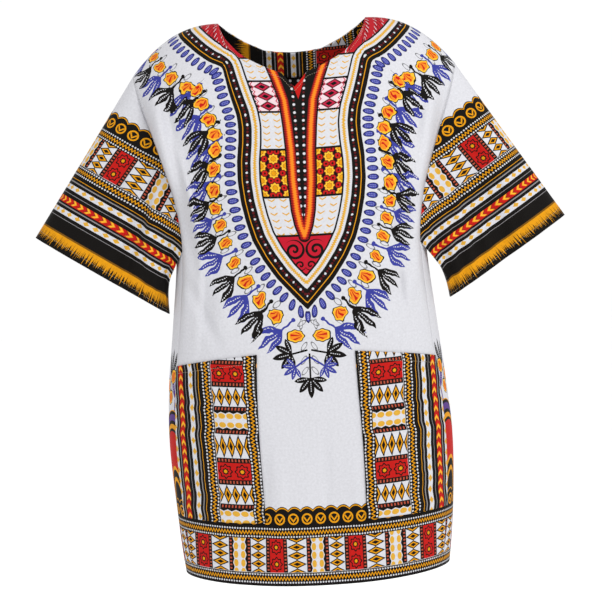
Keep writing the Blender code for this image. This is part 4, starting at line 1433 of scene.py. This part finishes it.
# The pockets: the same border stood on its side, ending in a red field at the side seam
for name, piece in pocket_pieces.items():
    tree, shader, parts = printed_cotton("wax_print_cotton_" + name, piece)
    along = node(tree, "Math", parts.outputs["Y"], -POCKET_SQUARE[name], operation="ADD")
    along = node(tree, "Math", along, POCKET_STRETCH, operation="DIVIDE")
    along = node(tree, "Math", along, SQUARE_IN_BORDER, operation="ADD")
    out = node(tree, "Math", parts.outputs["X"], -FRONT_MIDDLE, operation="ADD")
    out = node(tree, "Math", out, operation="ABSOLUTE")
    down = node(tree, "Math", out, POCKET_BORDER_START[name], operation="ADD")
    pull = node(tree, "TexNoise", None, along, PULLS, 1.0, 0.5, noise_dimensions="1D")
    pull = node(tree, "Math", pull.outputs[0], -0.5, operation="ADD")
    down = node(tree, "Math", pull, 7.0, down, operation="MULTIPLY_ADD")
    print_ = node(tree, "Group", COTTON, along, down, 0.0, node_tree=border)
    for ink, start, end in ((GOLD, 190.0, 193.0), (BLACK, 193.0, 193.8), (RED, 193.8, 260.0)):
        print_ = node(tree, "Group", print_, ink, down, start, end, node_tree=stripe)
    dyed(tree, shader, parts, print_)

# The facing: the border's stripes stand upright round the back of the neck
tree, shader, parts = printed_cotton("wax_print_cotton_facing", facing_piece)
down = node(tree, "Math", FACING_START, parts.outputs["X"], operation="SUBTRACT")
print_ = node(tree, "Group", COTTON, parts.outputs["Y"], down, 0.0, node_tree=border)
dyed(tree, shader, parts, print_)

# Spun cotton thread: matt, with its twist drawn as a fine slanting ripple
thread = bpy.data.materials.new("spun_cotton_sewing_thread")
thread.use_nodes = True
tree = thread.node_tree
shader = tree.nodes["Principled BSDF"]
shader.inputs["Roughness"].default_value = 0.7
shader.inputs["Specular IOR Level"].default_value = 0.15
place = node(tree, "TexCoord").outputs["Object"]
fluff = node(tree, "TexNoise", place, None, FLUFF / MM, 2.0, 0.5)
shade = node(tree, "MixRGB", fluff.outputs[0], "#8F8370", "#C2B59C")
tree.links.new(shade.outputs[0], shader.inputs["Base Color"])
# The twist comes every 0.9 mm, coarser than the real one so that it shows. A wave texture of
# scale 1 has ten radians to the metre
ripple = TWIST / (10 * MM)
twist = node(tree, "TexWave", place, ripple, 1.0, bands_direction="DIAGONAL")
bump = node(tree, "Bump", 0.3, TWIST_RELIEF * MM, None, twist.outputs["Fac"])
tree.links.new(bump.outputs[0], shader.inputs["Normal"])
for piece in stitchings:
    piece.data.materials.append(thread)

# Floor and light: a white studio, and a broad soft light from high in front, a little to the right
FLOOR, FLOOR_HALF = -1250.0, 60000.0
LIT_MIDDLE = Vector((0.0, 0.0, -0.4))
bm = bmesh.new()
bmesh.ops.create_grid(bm, x_segments=1, y_segments=1, size=FLOOR_HALF * MM)
bmesh.ops.translate(bm, verts=bm.verts, vec=(0, 0, FLOOR * MM))
floor = placed("floor", bm)
floor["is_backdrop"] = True

# Matt floor paint: no shine, and a little light of its own, so that the ground is an even white
paint = bpy.data.materials.new("matt_white_floor_paint")
paint.use_nodes = True
painted = paint.node_tree.nodes["Principled BSDF"]
painted.inputs["Base Color"].default_value = colour("#F2F2F2")
painted.inputs["Roughness"].default_value = 0.9
painted.inputs["Specular IOR Level"].default_value = 0.1
painted.inputs["Emission Color"].default_value = colour("#FFFFFF")
painted.inputs["Emission Strength"].default_value = 0.42
floor.data.materials.append(paint)

for name, place, size, power in (
    ("key_light", (0.8, -1.9, 1.7), 1.1, 40.0),
    ("back_light", (-1.6, 2.2, 1.3), 1.2, 22.0),
):
    lamp = bpy.data.lights.new(name, "AREA")
    lamp.size = size
    lamp.energy = power
    light = bpy.data.objects.new(name, lamp)
    light.location = place
    way = LIT_MIDDLE - Vector(place)
    light.rotation_euler = way.to_track_quat("-Z", "Y").to_euler()
    bpy.context.scene.collection.objects.link(light)

bpy.context.scene.view_settings.view_transform = "Standard"
world = bpy.data.worlds.new("studio")
world.use_nodes = True
t = world.node_tree
sky = t.nodes["Background"]
sky.inputs["Color"].default_value = (1, 1, 1, 1)
# The studio's walls are white, and its ceiling is dimmer, above all on the left
WALLS, CEILING, TO_THE_RIGHT = 1.02, -0.42, 0.3
CEILING_START, CEILING_EDGE = 1.1, 4.0
way = node(t, "SeparateXYZ", node(t, "TexCoord").outputs["Generated"])
high = node(t, "Math", way.outputs["Z"], CEILING_EDGE, operation="MULTIPLY")
high = node(t, "Math", high, -CEILING_START, operation="ADD", use_clamp=True)
dim = node(t, "Math", way.outputs["X"], TO_THE_RIGHT, CEILING, operation="MULTIPLY_ADD")
strength = node(t, "Math", high, dim, WALLS, operation="MULTIPLY_ADD")
t.links.new(strength.outputs[0], sky.inputs["Strength"])
bpy.context.scene.world = world

# The cut of each piece of cloth: its widest and longest, and the share of that which it fills
CUT_COLUMNS = ("piece", "width", "length", "share", "held", "on")
CUTS = [
    (front_piece, 557, 837, 0.709, "hung", [back_piece]),
    (back_piece, 656, 837, 0.808, "hung", [front_piece]),
    (sleeve_pieces["sleeve_left"], 641, 272, 0.508, "hung", [front_piece, back_piece]),
    (sleeve_pieces["sleeve_right"], 641, 272, 0.519, "hung", [front_piece, back_piece]),
    (pocket_pieces["pocket_left"], 134, 234, 0.968, "hung", [front_piece]),
    (pocket_pieces["pocket_right"], 134, 234, 0.967, "hung", [front_piece]),
    (facing_piece, 240, 60, 0.6, "hung", [back_piece]),
]
for row in CUTS:
    cut = named(CUT_COLUMNS, row)

visual_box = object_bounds()
sizes = {
    "cad": [list(corner) for corner in cad_box],
    "visual": [list(corner) for corner in visual_box],
}
